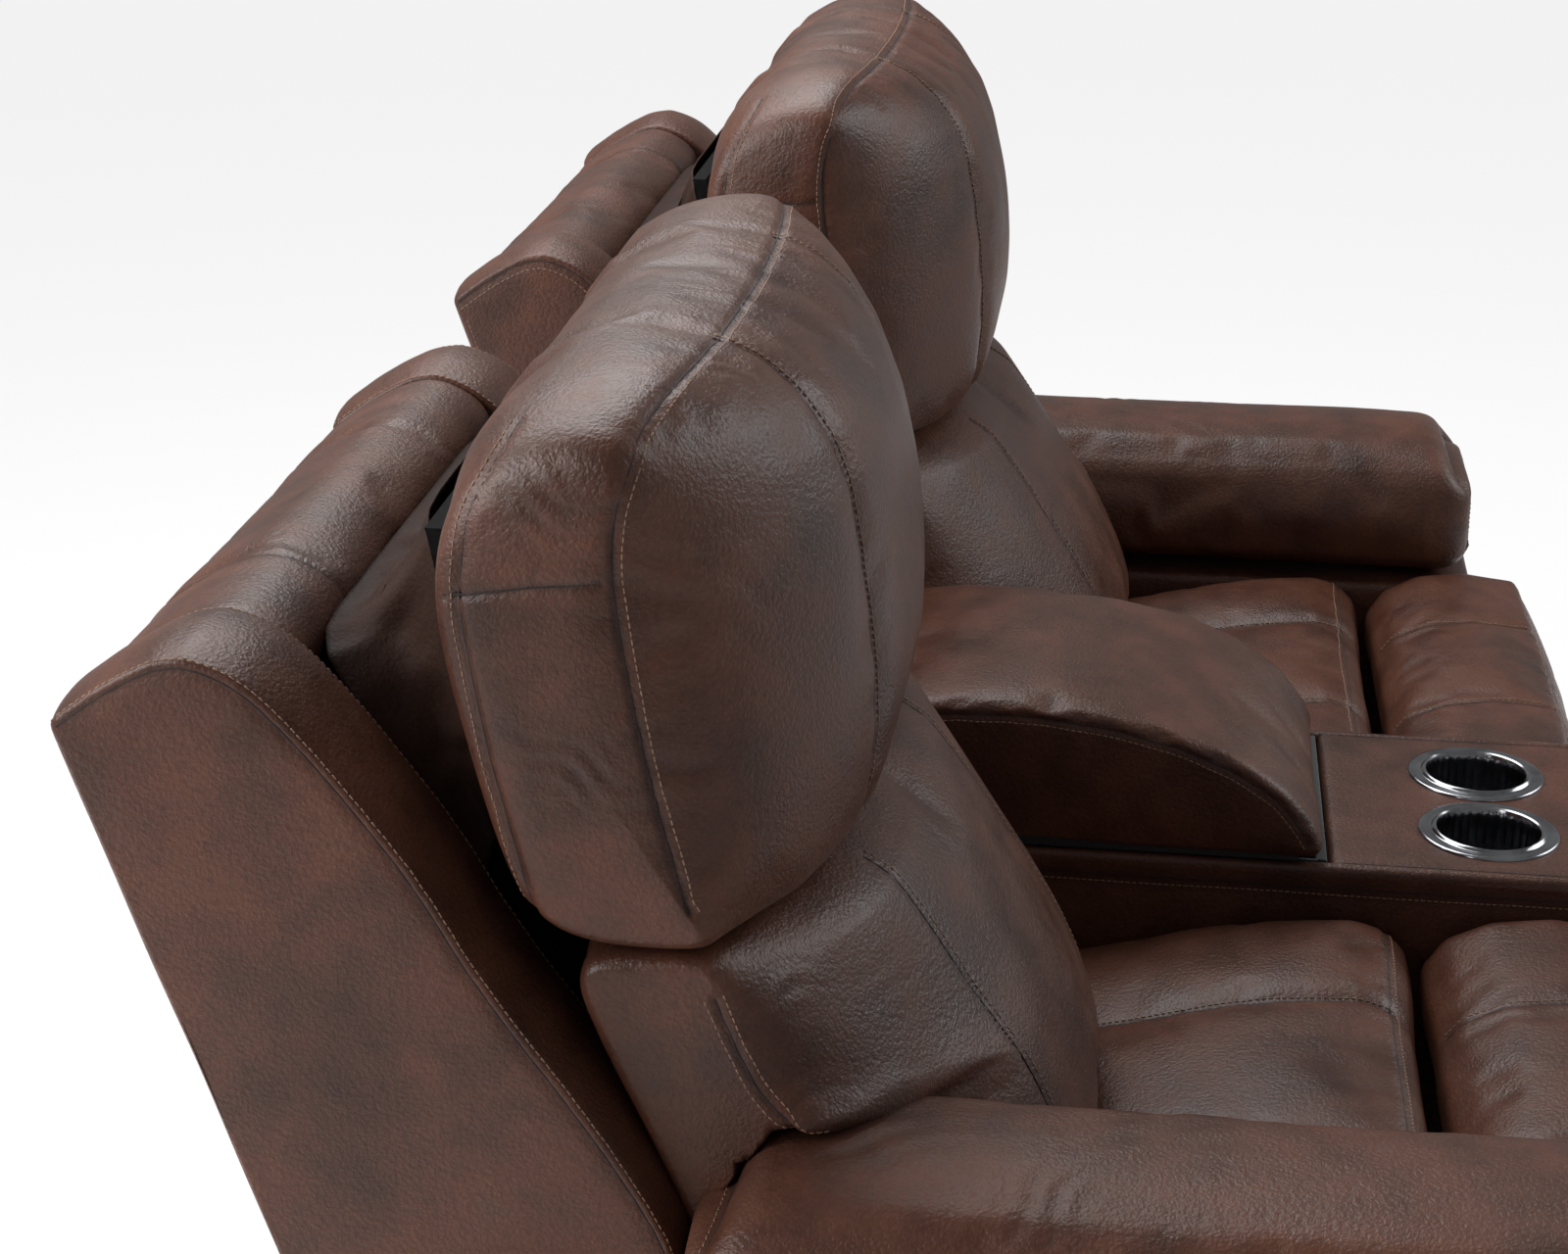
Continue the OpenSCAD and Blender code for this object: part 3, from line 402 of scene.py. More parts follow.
# %% Cloth simulation
def select_only(made):
    """Selects one object and makes it the active one."""
    bpy.ops.object.select_all(action="DESELECT")
    made.select_set(True)
    bpy.context.view_layer.objects.active = made


def mesh_object(name, co, faces, material):
    """A mesh object at the origin from points in millimetres."""
    mesh = bpy.data.meshes.new(name)
    mesh.from_pydata((np.asarray(co) * MM).tolist(), [], faces)
    made = bpy.data.objects.new(name, mesh)
    bpy.context.scene.collection.objects.link(made)
    mesh.materials.append(material)
    mesh.shade_smooth()
    return made


LET_OUT, PRESSURE, FRAMES = 0.006, 4.0, 20


def stuffed(cover, held, cap=10.0):
    """Swells a cover between its held points and returns its new points in millimetres."""
    trial = mesh_object("trial", cover.co, cover.faces, HIDE)
    trial.vertex_groups.new(name="held").add([int(i) for i in held], 1.0, "REPLACE")
    cloth = trial.modifiers.new("Cloth", "CLOTH")
    rules = cloth.settings
    rules.quality = 4
    rules.mass = 0.4
    rules.tension_stiffness = rules.compression_stiffness = 20
    rules.shear_stiffness = 8
    rules.bending_stiffness = 5
    rules.use_pressure = True
    rules.uniform_pressure_force = PRESSURE
    rules.effector_weights.gravity = 0
    rules.vertex_group_mass = "held"
    rules.shrink_min = -LET_OUT
    cloth.collision_settings.use_collision = False
    cloth.collision_settings.use_self_collision = False
    cloth.point_cache.frame_start, cloth.point_cache.frame_end = 1, FRAMES
    scene = bpy.context.scene
    for step in range(1, FRAMES + 1):
        scene.frame_set(step)
    shape = trial.evaluated_get(bpy.context.evaluated_depsgraph_get())
    moved = np.array([v.co for v in shape.data.vertices]) / MM
    scene.frame_set(1)
    bpy.data.objects.remove(trial)
    step = moved - cover.co
    far = np.linalg.norm(step, axis=1, keepdims=True)
    print("stuffed", len(moved), "points, furthest", round(float(far.max()), 1), "mm")
    return cover.co + step * np.minimum(1, cap / np.maximum(far, 1e-6))

# %% [markdown]
# ## Seams, puckers, painted shade and painted highlights
# After the stuffing each mesh is subdivided once. Then the points near a seam are pressed in, and
# small folds run away from it at right angles, each with its own length. Folds are made from a
# smooth random wave along the seam, always from the same seed.

# %% Sculpting along seams
def smooth_wave(s, gap, rng):
    """A smooth random wave between -1 and 1 along a length, with knots about gap apart."""
    knots = np.arange(0, s.max() + 3 * gap, gap)
    heights = rng.uniform(-1, 1, len(knots))
    k = np.clip((s / gap).astype(int), 0, len(knots) - 2)
    return mix(heights[k], heights[k + 1], ease(s / gap - k))


def normals_of(co, quads):
    """Point normals of a subdivided mesh, whose faces all have four corners."""
    f = np.array(quads)
    across = np.cross(co[f[:, 2]] - co[f[:, 0]], co[f[:, 3]] - co[f[:, 1]])
    total = np.zeros_like(co)
    for k in range(4):
        np.add.at(total, f[:, k], across)
    return total / np.maximum(np.linalg.norm(total, axis=1, keepdims=True), 1e-9)


def along(path):
    """Length gone at each point of a path."""
    return np.concatenate([[0], np.cumsum(np.linalg.norm(np.diff(path, axis=0), axis=1))])


def dense(path, gap=3.0):
    """The same path with points a few millimetres apart."""
    gone = along(path)
    at = np.linspace(0, gone[-1], max(2, int(gone[-1] / gap) + 1))
    return np.stack([np.interp(at, gone, path[:, k]) for k in range(3)], axis=1)


def smoothed(path, rounds=2):
    """Softens the corners of a path but keeps its ends."""
    p = np.array(path, float)
    for _ in range(rounds):
        p[1:-1] = (p[:-2] + 2 * p[1:-1] + p[2:]) / 4
    return p


# How dark the painted shade is in a seam's groove and in the hollow of a fold
GROOVE_WIDTH, GROOVE_SHADE, FOLD_SHADE = 3.1, 0.34, 0.2
FOLD_START, FOLD_SPREAD = 5.0, 21.0


def press_seams(co, normal, seams):
    """Presses grooves and folds into points, and returns them with a map of painted shade for
    each.
    """
    hollow = np.zeros(len(co))
    push = np.zeros(len(co))
    for seam in seams:
        path = dense(seam["path"])
        gone = along(path)
        reach = seam.get("reach", 26.0)
        near = np.where(((co > path.min(axis=0) - 3 * reach) & (co < path.max(axis=0) + 3 * reach))
                        .all(axis=1))[0]
        for part in np.array_split(near, max(1, len(near) // 4000)):
            apart = co[part][:, None, :] - path[None, :, :]
            d2 = (apart ** 2).sum(axis=2)
            k = d2.argmin(axis=1)
            d = np.sqrt(d2[np.arange(len(part)), k])
            s = gone[k]
            groove = np.exp(-(d / GROOVE_WIDTH) ** 2)
            wave = smooth_wave(s, seam.get("gap", 13.0), np.random.default_rng(seam["seed"]))
            reach_here = reach * (0.55 + 0.45 * smooth_wave(s, FOLD_SPREAD,
                                  np.random.default_rng(seam["seed"] + 7)))
            fold = np.exp(-d / np.maximum(reach_here, FOLD_START))
            fold = fold * (1 - np.exp(-(d / FOLD_START) ** 2))
            if "only" in seam:
                side = np.take_along_axis(apart, k[:, None, None].repeat(3, axis=2), axis=1)[:, 0]
                fold *= np.clip((side @ np.array(seam["only"], float)) / 6 + 0.3, 0, 1)
            push[part] += -seam.get("deep", 1.6) * groove + seam.get("folds", 0.5) * wave * fold
            # Painted shade in the groove and in the hollows of the folds
            hollow[part] = np.maximum(hollow[part], GROOVE_SHADE * groove)
            hollow[part] = np.maximum(hollow[part], FOLD_SHADE * np.clip(-wave, 0, 1) * fold)
    return co + normal * push[:, None], hollow


def soft_lumps(co, size, seed):
    """A gentle random field over space, from a few seeded plane waves."""
    rng = np.random.default_rng(seed)
    total = np.zeros(len(co))
    for _ in range(14):
        way = rng.normal(size=3)
        way /= np.linalg.norm(way)
        pitch = size * rng.uniform(0.7, 1.9)
        total += np.sin(co @ way * 2 * math.pi / pitch + rng.uniform(0, 2 * math.pi))
    return total / math.sqrt(14 / 2) / 2


def creases(co, normal, places, rng):
    """Long shallow wrinkles: each place is a centre, a direction, a length and a depth."""
    push = np.zeros(len(co))
    for centre, way, length, depth, pitch in places:
        way = np.array(way, float) / np.linalg.norm(way)
        apart = co - np.array(centre, float)
        run = apart @ way
        off = apart - run[:, None] * way
        d = np.linalg.norm(off, axis=1)
        bend = 6 * np.sin(run / length * 3 + rng.uniform(0, 6))
        across = np.cross(normal, way)
        wave = np.cos(((off * across).sum(axis=1) + bend) * 2 * math.pi / pitch)
        push += depth * wave * np.exp(-(run / length) ** 2 - (d / (1.3 * pitch)) ** 2)
    return co + normal * push[:, None]


# %% [markdown]
# A finished cover gets two point attributes for the leather: painted shade in grooves and
# hollows, and a painted highlight on ridges. The second comes from how far a point stands out from
# its neighbours, measured along its normal.

# %% Finishing a cover
def subdivided(made):
    """Subdivides an object's mesh once and gives it back."""
    finer = made.modifiers.new("Finer", "SUBSURF")
    finer.levels = finer.render_levels = 1
    finer.use_limit_surface = False
    coarse = made.data
    finished = made.evaluated_get(bpy.context.evaluated_depsgraph_get())
    mesh = bpy.data.meshes.new_from_object(finished)
    made.modifiers.clear()
    made.data = mesh
    bpy.data.meshes.remove(coarse)
    mesh.name = made.name
    return mesh


def neighbour_mean(edges, values, count):
    """The mean of each point's neighbours along the edges."""
    total = np.zeros_like(values)
    for a, b in ((0, 1), (1, 0)):
        np.add.at(total, edges[:, a], values[edges[:, b]])
    return (total.T / count).T


def standing_out(mesh, p, normal):
    """How far each point stands out from its neighbours along its normal, softened twice."""
    edges = np.empty(len(mesh.edges) * 2, int)
    mesh.edges.foreach_get("vertices", edges)
    count = np.maximum(np.bincount(edges, minlength=len(p)), 1)
    edges = edges.reshape(-1, 2)
    out = ((p - neighbour_mean(edges, p, count)) * normal).sum(axis=1)
    for _ in range(2):
        out = 0.5 * out + 0.5 * neighbour_mean(edges, out, count)
    return out


def turned_seams(seams, turn, seed, surface):
    """The seams of one side, each with a seed; one with a cast is thrown onto the surface."""
    made = [dict(s, path=np.array(s["path"]) * turn, seed=seed * 31 + k)
            for k, s in enumerate(seams)]
    for s in made:
        if "only" in s:
            s["only"] = np.array(s["only"]) * turn
        if "cast" in s:
            way = Vector(np.array(s["cast"], float) * turn)
            hits = [surface.ray_cast(Vector(q) - 120 * way, way)[0]
                    for q in dense(s["path"], 6.0)]
            s["path"] = np.array([h for h in hits if h is not None])
    return made


def dressed(name, co, faces, body, seams=(), lumps=(1.5, 110), seed=1, fill=0.7, nodes=(),
            wrinkles=(), flip=1):
    """Makes the finished leather piece: subdivided, sculpted, with attributes, on its body."""
    turn = np.array([flip, 1, 1])
    made = mesh_object(name, np.array(co) * turn,
                       [f[::-1] for f in faces] if flip < 0 else faces, HIDE)
    mesh = subdivided(made)
    p = np.empty(len(mesh.vertices) * 3)
    mesh.vertices.foreach_get("co", p)
    p = p.reshape(-1, 3) / MM
    quads = [tuple(q.vertices) for q in mesh.polygons]
    normal = normals_of(p, quads)
    p = p + normal * (soft_lumps(p, lumps[1], seed) * lumps[0])[:, None]
    p = creases(p, normal, wrinkles, np.random.default_rng(seed))
    seams = turned_seams(seams, turn, seed, BVHTree.FromPolygons(p.tolist(), quads))
    p, hollow = press_seams(p, normal, seams)
    out = standing_out(mesh, p, normals_of(p, quads))
    mesh.vertices.foreach_set("co", (p * MM).ravel())
    # Painted shade in grooves and hollows and a painted highlight on ridges, as point attributes
    for key, value in (("hollow", np.clip(hollow + np.clip(-out * 1.5, 0, 0.35), 0, 1)),
                       ("rubbed", np.clip(out * 0.9 - 0.12, 0, 0.3))):
        layer = mesh.attributes.new(key, "FLOAT", "POINT").data
        layer.foreach_set("value", value.astype(np.float32))
    mesh.update()
    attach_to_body(made, body)
    if nodes:
        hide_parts(*nodes)
    sew(name, made, seams, body)
    print(name, len(mesh.polygons), "faces,", len(seams), "seams")
    return made

# %% [markdown]
# ## Sewing
# The join is a thin dark cord of painted shade sunk in its groove, and the topstitch is a row of
# real stitches 4 mm long on a 5 mm pitch, 6 mm beside it. One stitch is modelled from a cylinder
# with its ends drawn to points, and its points are then copied along each seam, laid on the
# finished leather.

# %% One stitch, modelled
def stitch_points():
    """Points and faces of one stitch along X: a cylinder whose ends are drawn in."""
    bpy.ops.object.select_all(action="DESELECT")
    bpy.ops.mesh.primitive_cylinder_add(vertices=6, radius=0.5, depth=2.6,
                                        rotation=(0, math.pi / 2, 0))
    made = bpy.context.active_object
    bpy.ops.object.transform_apply(rotation=True)
    bpy.ops.object.mode_set(mode="EDIT")
    mesh = bmesh.from_edit_mesh(made.data)
    for end in (-1, 1):
        for f in mesh.faces:
            f.select_set(f.normal.x * end > 0.9)
        bmesh.update_edit_mesh(made.data)
        bpy.ops.mesh.extrude_region_move(TRANSFORM_OT_translate={"value": (0.8 * end, 0, -0.35)})
        bpy.ops.transform.resize(value=(1, 0.35, 0.35))
        mesh = bmesh.from_edit_mesh(made.data)
    bpy.ops.object.mode_set(mode="OBJECT")
    co = np.array([v.co for v in made.data.vertices])
    faces = [tuple(f.vertices) for f in made.data.polygons]
    bpy.data.objects.remove(made)
    return co, faces


STITCH, STITCH_FACES = stitch_points()
print("one stitch has", len(STITCH_FACES), "faces")


# %% Laying seams on a finished cover
LINE_RADIUS, LINE_SUNK, THREAD_UP, STITCH_PITCH = 0.6, 0.25, 0.15, 5.2


def on_surface(tree, path):
    """The nearest points and normals of a surface for a path in millimetres."""
    hits = [tree.find_nearest(Vector(q)) for q in path]
    return np.array([h[0] for h in hits]), np.array([h[1] for h in hits])


def frames_along(path, normal):
    ahead = np.gradient(path, axis=0)
    ahead /= np.maximum(np.linalg.norm(ahead, axis=1, keepdims=True), 1e-9)
    across = np.cross(normal, ahead)
    across /= np.maximum(np.linalg.norm(across, axis=1, keepdims=True), 1e-9)
    return ahead, across


def tube(path, normal, radius, sides=6):
    """Points and faces of a round cord along a path."""
    ahead, across = frames_along(path, normal)
    up = np.cross(ahead, across)
    a = np.arange(sides) * 2 * math.pi / sides
    ring = (np.cos(a)[None, :, None] * across[:, None] + np.sin(a)[None, :, None] * up[:, None])
    co = (path[:, None] + radius * ring).reshape(-1, 3)
    faces = [(i * sides + k, (i + 1) * sides + k, (i + 1) * sides + (k + 1) % sides,
              i * sides + (k + 1) % sides) for i in range(len(path) - 1) for k in range(sides)]
    last = (len(path) - 1) * sides
    return co, faces + [tuple(range(sides - 1, -1, -1)), tuple(last + k for k in range(sides))]


def sew(name, made, seams, body):
    """Adds the dark seam cords of painted shade and the topstitching of one finished cover."""
    tree = BVHTree.FromPolygons([Vector(v.co) / MM for v in made.data.vertices],
                                [tuple(q.vertices) for q in made.data.polygons])
    lines, threads = ([], []), ([], [])
    for seam in seams:
        path = dense(smoothed(seam["path"], 1), 4.0)
        laid, normal = on_surface(tree, path)
        laid = smoothed(laid, 2)
        co, faces = tube(laid - normal * LINE_SUNK, normal, LINE_RADIUS)
        base = sum(len(q) for q in lines[0])
        lines[0].append(co)
        lines[1].extend([tuple(base + v for v in f) for f in faces])
        ahead, across = frames_along(laid, normal)
        for offset in seam.get("stitch", (6.0,)):
            beside, top = on_surface(tree, laid + across * offset)
            beside = dense(smoothed(beside, 3), STITCH_PITCH)
            beside, top = on_surface(tree, beside)
            go, wide = frames_along(beside, top)
            ups = np.cross(go, wide)
            for q, x, y, z in zip(beside, go, wide, ups):
                base = len(threads[0]) * len(STITCH)
                threads[0].append(q + z * THREAD_UP + STITCH @ np.array([x, y, z]))
                threads[1].extend([tuple(base + v for v in f) for f in STITCH_FACES])
    for label, (co, faces), material in (("seam_lines", lines, SEAM_SHADE),
                                         ("topstitch", threads, THREAD)):
        if co:
            piece = mesh_object(name + "_" + label, np.vstack(co), faces, material)
            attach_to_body(piece, body)


# %% [markdown]
# Most pieces come in pairs. One function makes the right-hand piece and turns it over for the
# left, with the next seed, so that the two aren't copies of each other.

# %% Helpers for seams and for pieces on both sides
def seam(path, **facts):
    return dict(facts, path=path)


def points(co, ids):
    return co[np.array(ids)]


def turned(wrinkles, flip):
    """The same wrinkles on either side of the sofa."""
    return [((x * flip, y, z), (a * flip, b, c), size, deep, pitch)
            for (x, y, z), (a, b, c), size, deep, pitch in wrinkles]


def both_sides(label, co, faces, body, seams, seed, nodes=(), wrinkles=(), **facts):
    """Makes a piece on the right, and turned over on the left with the next seed."""
    for side, flip in SIDES.items():
        dressed(side + "_" + label, co, faces, body if body == "base" else side + "_" + body,
                seams, seed=seed + (flip < 0), flip=flip, wrinkles=turned(wrinkles, flip),
                nodes=[n if n in frame["nodes"] else side + "_" + n for n in nodes], **facts)


# %% [markdown]
# ## Headrests
# A headrest is a deep pillow with a boxed side: a front panel in three pieces, a top seam, and a
# side panel with a cross seam. It is tilted forward here, as its motor holds it for reading. The
# panels swell between their seams and pucker beside them, strongly at the upper corners.

# %% Model the headrests
BACK_FACE = (-1.0, 0.0)
HEAD_LINE = rounded([(60, 826), (50, 905), (57, 985), (74, 1064), (116, 1122), (172, 1146),
                     (240, 1144), (300, 1110), (318, 1040), (270, 850), (258, 806), (200, 806),
                     (80, 808)][::-1], 1)


def head_crown(z, y):
    """How far the front is drawn back at its sides, to a line that leans with the headrest."""
    return drawn_to(np.interp(z, (800, 925, 1036, 1140), (142, 169, 191, 193)), y)


def head_bend(z, y):
    """The rounding towards the sides, larger over the top."""
    return 12 + 12 * ease((z - 1040) / 70) * ease((y - 202) / 50)


head = Cover(HEAD_LINE, *HEAD_X, BACK_FACE, head_crown, head_bend, 0.06, middle=(245, 975),
             bulge=6, puff=-3, deep=4, caps=22, droop=26, soft_ends=40)
top, chin, nape = head.row((160, 1142)), head.row((66, 818)), head.row((315, 1060))
front_columns = (head.column(-SEAM_AT), head.column(SEAM_AT))
held = head.ends() | head.band(top, chin, front_columns)
held |= set(head.across(top)) | head.band(chin, nape)
head_co = stuffed(head, held)


def around_edge(co, cover, high_row, low_row):
    """The edge seam of a front panel: up one side, across the top and down the other side."""
    up = points(co, cover.ids(0, high_row, low_row))[::-1]
    down = points(co, cover.ids(cover.last, high_row, low_row))
    path = np.vstack([up, points(co, cover.across(high_row)), down])
    return smoothed(dense(path, 6.0), 50)


HEAD_WRINKLES = [
    ((835, 226, 930), (0, 1, 0.5), 30, 0.7, 15), ((835, 235, 1085), (0, 1, 0.3), 34, 0.8, 16),
    ((790, 160, 900), (0.9, 0.3, 0.5), 46, 1.0, 20),
    ((790, 160, 1020), (0.9, 0.3, 0.6), 56, 1.3, 22),
    ((700, 150, 1130), (0.3, 1, 0), 32, 0.8, 14), ((560, 160, 1140), (-0.2, 1, 0), 34, 0.7, 13),
    ((420, 160, 1140), (0.2, 1, 0), 34, 0.8, 14), ((300, 150, 1130), (-0.4, 1, 0), 30, 0.7, 13),
    ((215, 170, 1000), (-0.8, 0.3, 0.5), 34, 0.7, 14),
    ((205, 165, 890), (-0.8, 0.3, 0.4), 30, 0.7, 13)]
head_joins = [seam(points(head_co, head.ids(c, top, chin)), folds=0.25, gap=12, reach=16)
              for c in front_columns]
head_joins.append(seam(around_edge(head_co, head, top, chin), folds=0.9, gap=9, reach=26,
                       deep=2.2))
for x, way in ((HEAD_X[0], 1), (HEAD_X[1], -1)):
    rear = [(x, 262, 1122), (x, 284, 1080), (x, 291, 1028), (x, 275, 930), (x, 249, 824)]
    cross = [(x, 206, 1041), (x, 245, 1038), (x, 300, 1028)]
    head_joins.append(seam(rear, folds=0.2, stitch=(6 * way,), reach=14, cast=(way, 0, 0)))
    head_joins.append(seam(cross, folds=0.1, stitch=(), reach=10, cast=(way, 0, 0)))
both_sides("headrest_cover", head_co, head.faces, "headrest", head_joins, 11, lumps=(1.0, 120),
           fill=0.75, nodes=("headrest_cushion",), wrinkles=HEAD_WRINKLES)

# %% [markdown]
# ## Lumbar cushions
# Below the headrest the back is one full cushion with the same two vertical seams. It is wider
# above the arm than beside it, and its side edges are drawn back, which gives the front its
# strong crown.

# %% Model the lumbar cushions
LUMBAR_LINE = rounded([(60, 800), (20, 740), (-80, 600), (-95, 512), (100, 478), (238, 785),
                       (235, 802)], 2)
REAR_Y, REAR_Z = (60, 90, 110, 125, 140, 165), (688, 674, 656, 638, 612, 560)
FRONT_Z, FRONT_X = (600, 625, 645, 662, 674, 690), (684, 690, 706, 738, 782, 830)


def lumbar_crown(z, y):
    """How far the front is drawn back at its sides, to a line that leans with the back."""
    return drawn_to(np.interp(z, (505, 612, 670, 730, 796), (58, 74, 89, 113, 144)), y)


def lumbar_inside(z, y):
    return mix(SEAT_X[0], 173, ease((z - 600) / 150))


def lumbar_outside(z, y):
    """The cushion widens over the arm's rounded top, and behind the arm's rear end."""
    return max(np.interp(z, FRONT_Z, FRONT_X),
               mix(SEAT_X[1], 830, ease((z - np.interp(y, REAR_Y, REAR_Z)) / 24)))


lumbar = Cover(LUMBAR_LINE, lumbar_inside, lumbar_outside, BACK_FACE, lumbar_crown, 10, 0.05,
               middle=(120, 650), puff=-3, caps=24, wide=(501.5, 328.5), soft_ends=16)
crown, lap, tail = lumbar.row((52, 794)), lumbar.row((-90, 505)), lumbar.row((225, 760))
lumbar_co = stuffed(lumbar, lumbar.ends() | lumbar.band(lap, tail, range(1, lumbar.last)), cap=8)
LUMBAR_WRINKLES = [
    ((800, 105, 770), (0.5, 1, -0.3), 34, 0.8, 14), ((790, 85, 700), (0.8, 0.5, 0.5), 36, 0.8, 14),
    ((690, 60, 720), (0.9, 0, 0.5), 44, 0.6, 16), ((200, 40, 700), (-0.8, 0.3, 0.5), 34, 0.7, 14),
    ((210, -20, 620), (-0.8, 0.3, 0.5), 34, 0.7, 14), ((520, 20, 770), (0.2, 0.3, 1), 34, 0.6, 17)]
lumbar_joins = [seam([(x, -60, z) for z in range(790, 520, -20)], folds=0.3, gap=13, reach=18,
                     cast=(0, 1, 0)) for x in (366, 644)]
for c in (0, lumbar.last):
    path = points(lumbar_co, lumbar.ids(c, crown, lap))
    path = path[path[:, 0] > 815] if c else path
    way = -6 if c else 6
    lumbar_joins.append(seam(smoothed(path, 4), folds=0.6, gap=10, reach=26, deep=2.0,
                             stitch=(way, -way)))
both_sides("lumbar_cover", lumbar_co, lumbar.faces, "back", lumbar_joins, 21, lumps=(1.4, 130),
           fill=0.8, nodes=("lumbar_cushion",), wrinkles=LUMBAR_WRINKLES)

# %% [markdown]
# ## Seat cushions
# The seats rise a little to the front and carry the same pair of seams from front to back, with a
# boxed front edge that meets the footrest pad.

# %% Model the seat cushions
UP_FACE = (0.0, 1.0)
SEAT_LINE = rounded([(15, 398.5), (15, 478), (-60, 500), (-200, 542), (-334, 552),
                     (-334, 398.5)], 2)
seat = Cover(SEAT_LINE, *SEAT_X, UP_FACE, 8, 20, 0.08, middle=(-160, 450), puff=-6, deep=5)
front, heel = seat.row((-318, 548)), seat.row((14, 474))
columns = (seat.column(-SEAM_AT), seat.column(SEAM_AT))
seat_co = stuffed(seat, seat.ends() | seat.band(front, heel) | seat.band(heel, front, columns))


def boxed_joins(co, cover, start, end, columns, edge, folds, edge_folds, side_folds, reaches,
                **only):
    """The seams of a boxed cushion: down its front, along one edge and down both sides."""
    joins = [seam(points(co, cover.ids(c, start, end)), folds=folds, gap=14, reach=20)
             for c in columns]
    joins.append(seam(points(co, cover.across(edge)), folds=edge_folds, gap=12,
                      reach=reaches[0]))
    return joins + [seam(points(co, cover.ids(c, start, end)), folds=side_folds, gap=13,
                         reach=reaches[1], stitch=(way,), **only)
                    for c, way in ((0, 6), (cover.last, -6))]


seat_joins = boxed_joins(seat_co, seat, heel, front, columns, front, 0.4, 0.7, 0.7, (20, 20),
                         only=(0, 0, 1))
both_sides("seat_cover", seat_co, seat.faces, "seat", seat_joins, 31, lumps=(1.2, 140),
           fill=0.8, nodes=("seat_cushion",))

# %% [markdown]
# ## Footrest pads
# Closed, the footrest is the front of the seat. It has a thick rolled top that continues the seat
# and a long front panel below it.

# %% Model the footrest pads
PAD_LINE = rounded([(-400.5, 104), (-400.5, 450.5), (-400.5, 450.5), (-339, 450.5), (-339, 520),
                    (-409, 554), (-533, 544), (-533, 302), (-525, 140), (-463, 96)], 1)
pad = Cover(PAD_LINE, *SEAT_X, BACK_FACE, 14, 20, 0.08, middle=(-430, 470), puff=-5, deep=5,
            caps=10)
nose, toe, lip = pad.row((-520, 540)), pad.row((-470, 99)), pad.row((-341, 515))
columns = (pad.column(-SEAM_AT), pad.column(SEAM_AT))
held = pad.ends() | pad.band(toe, lip) | pad.band(lip, toe, columns) | set(pad.across(nose))
pad_co = stuffed(pad, held)
pad_joins = boxed_joins(pad_co, pad, lip, toe, columns, nose, 0.5, 0.9, 0.8, (24, 22))
both_sides("footrest_cover", pad_co, pad.faces, "footrest", pad_joins, 41, lumps=(1.2, 130),
           fill=0.8, nodes=("footrest_pad",))

# %% [markdown]
# ## Arm pads
# The arms are topped with long pillows, soft enough to sag in the middle, closed at each end by
# a gathered seam. Their tops carry long shallow creases from use.

# %% Model the arm pads
ARM_LINE = rounded([(690, 529.5), (932, 529.5), (937, 599.5), (922, 662), (811, 680),
                    (700, 662), (685, 599.5)], 2)


def arm_front(z, y):
    return -446.0 + 22 * ease((z - 620) / 60)


def arm_rear(z, y):
    """The rear end slopes back down from the top."""
    return np.interp(z, (529, 600, 645, 680), (154, 154, 150, 126))


arm = Cover(ARM_LINE, arm_front, arm_rear, UP_FACE, 0, 28, 0.11, axis=1, seam=0.5,
            middle=(811, 600), bulge=3, puff=-2)
inner_low, outer_low = arm.row((690, 531)), arm.row((932, 531))
arm_co = stuffed(arm, arm.ends() | arm.band(inner_low, outer_low), cap=5)
arm_joins = [seam(points(arm_co, arm.ids(c, outer_low, inner_low)), folds=0.9, gap=12, reach=30,
                  stitch=(way,)) for c, way in ((0, -6), (arm.last, 6))]
ARM_WRINKLES = [
    ((811, 60, 690), (0.6, 1, 0), 50, 0.8, 24), ((790, -120, 690), (0.5, 1, 0), 60, 0.6, 30),
    ((860, -60, 660), (0.9, 0.5, -0.3), 40, 1.1, 17),
    ((880, -150, 640), (0.9, 0.3, -0.5), 36, 1.0, 15)]
both_sides("arm_pillow", arm_co, arm.faces, "base", arm_joins, 51, lumps=(1.0, 150), fill=0.65,
           nodes=("arm_pad",), wrinkles=ARM_WRINKLES)

# %% [markdown]
# ## Console lid
# The console between the seats opens under a padded lid that doubles as an armrest. Its top runs
# level and then curves down to the cup holders, with a seam along each side.

# %% Model the console lid
LID_LINE = rounded([(147, 579), (147, 690), (25, 708), (-110, 694), (-215, 650), (-262, 590),
                    (-250, 579), (-250, 579)], 1)
lid = Cover(LID_LINE, -149.0, 149.0, UP_FACE, 3, 9, 0.08, seam=0.5, middle=(-20, 640), bulge=2,
            puff=-3)
lid_rear, lid_front = lid.row((147, 668)), lid.row((-258, 598))
lid_co = stuffed(lid, lid.ends() | lid.band(lid_front, lid_rear), cap=6)
lid_joins = [seam(points(lid_co, lid.ids(c, lid_rear, lid_front)), folds=0.4, gap=15, reach=18,
                  stitch=(way,)) for c, way in ((0, -6), (lid.last, 6))]
dressed("console_lid_cover", lid_co, lid.faces, "lid", lid_joins, lumps=(1.4, 140), seed=61,
        fill=0.85, nodes=("lid_pad",))

# %% [markdown]
# ## Backs
# Each back has a padded wing at both sides. A flat side panel meets a rolled band along a
# topstitched seam that follows the whole profile, and a rail joins the wings behind the
# headrest. A thin padded cover closes the rear.

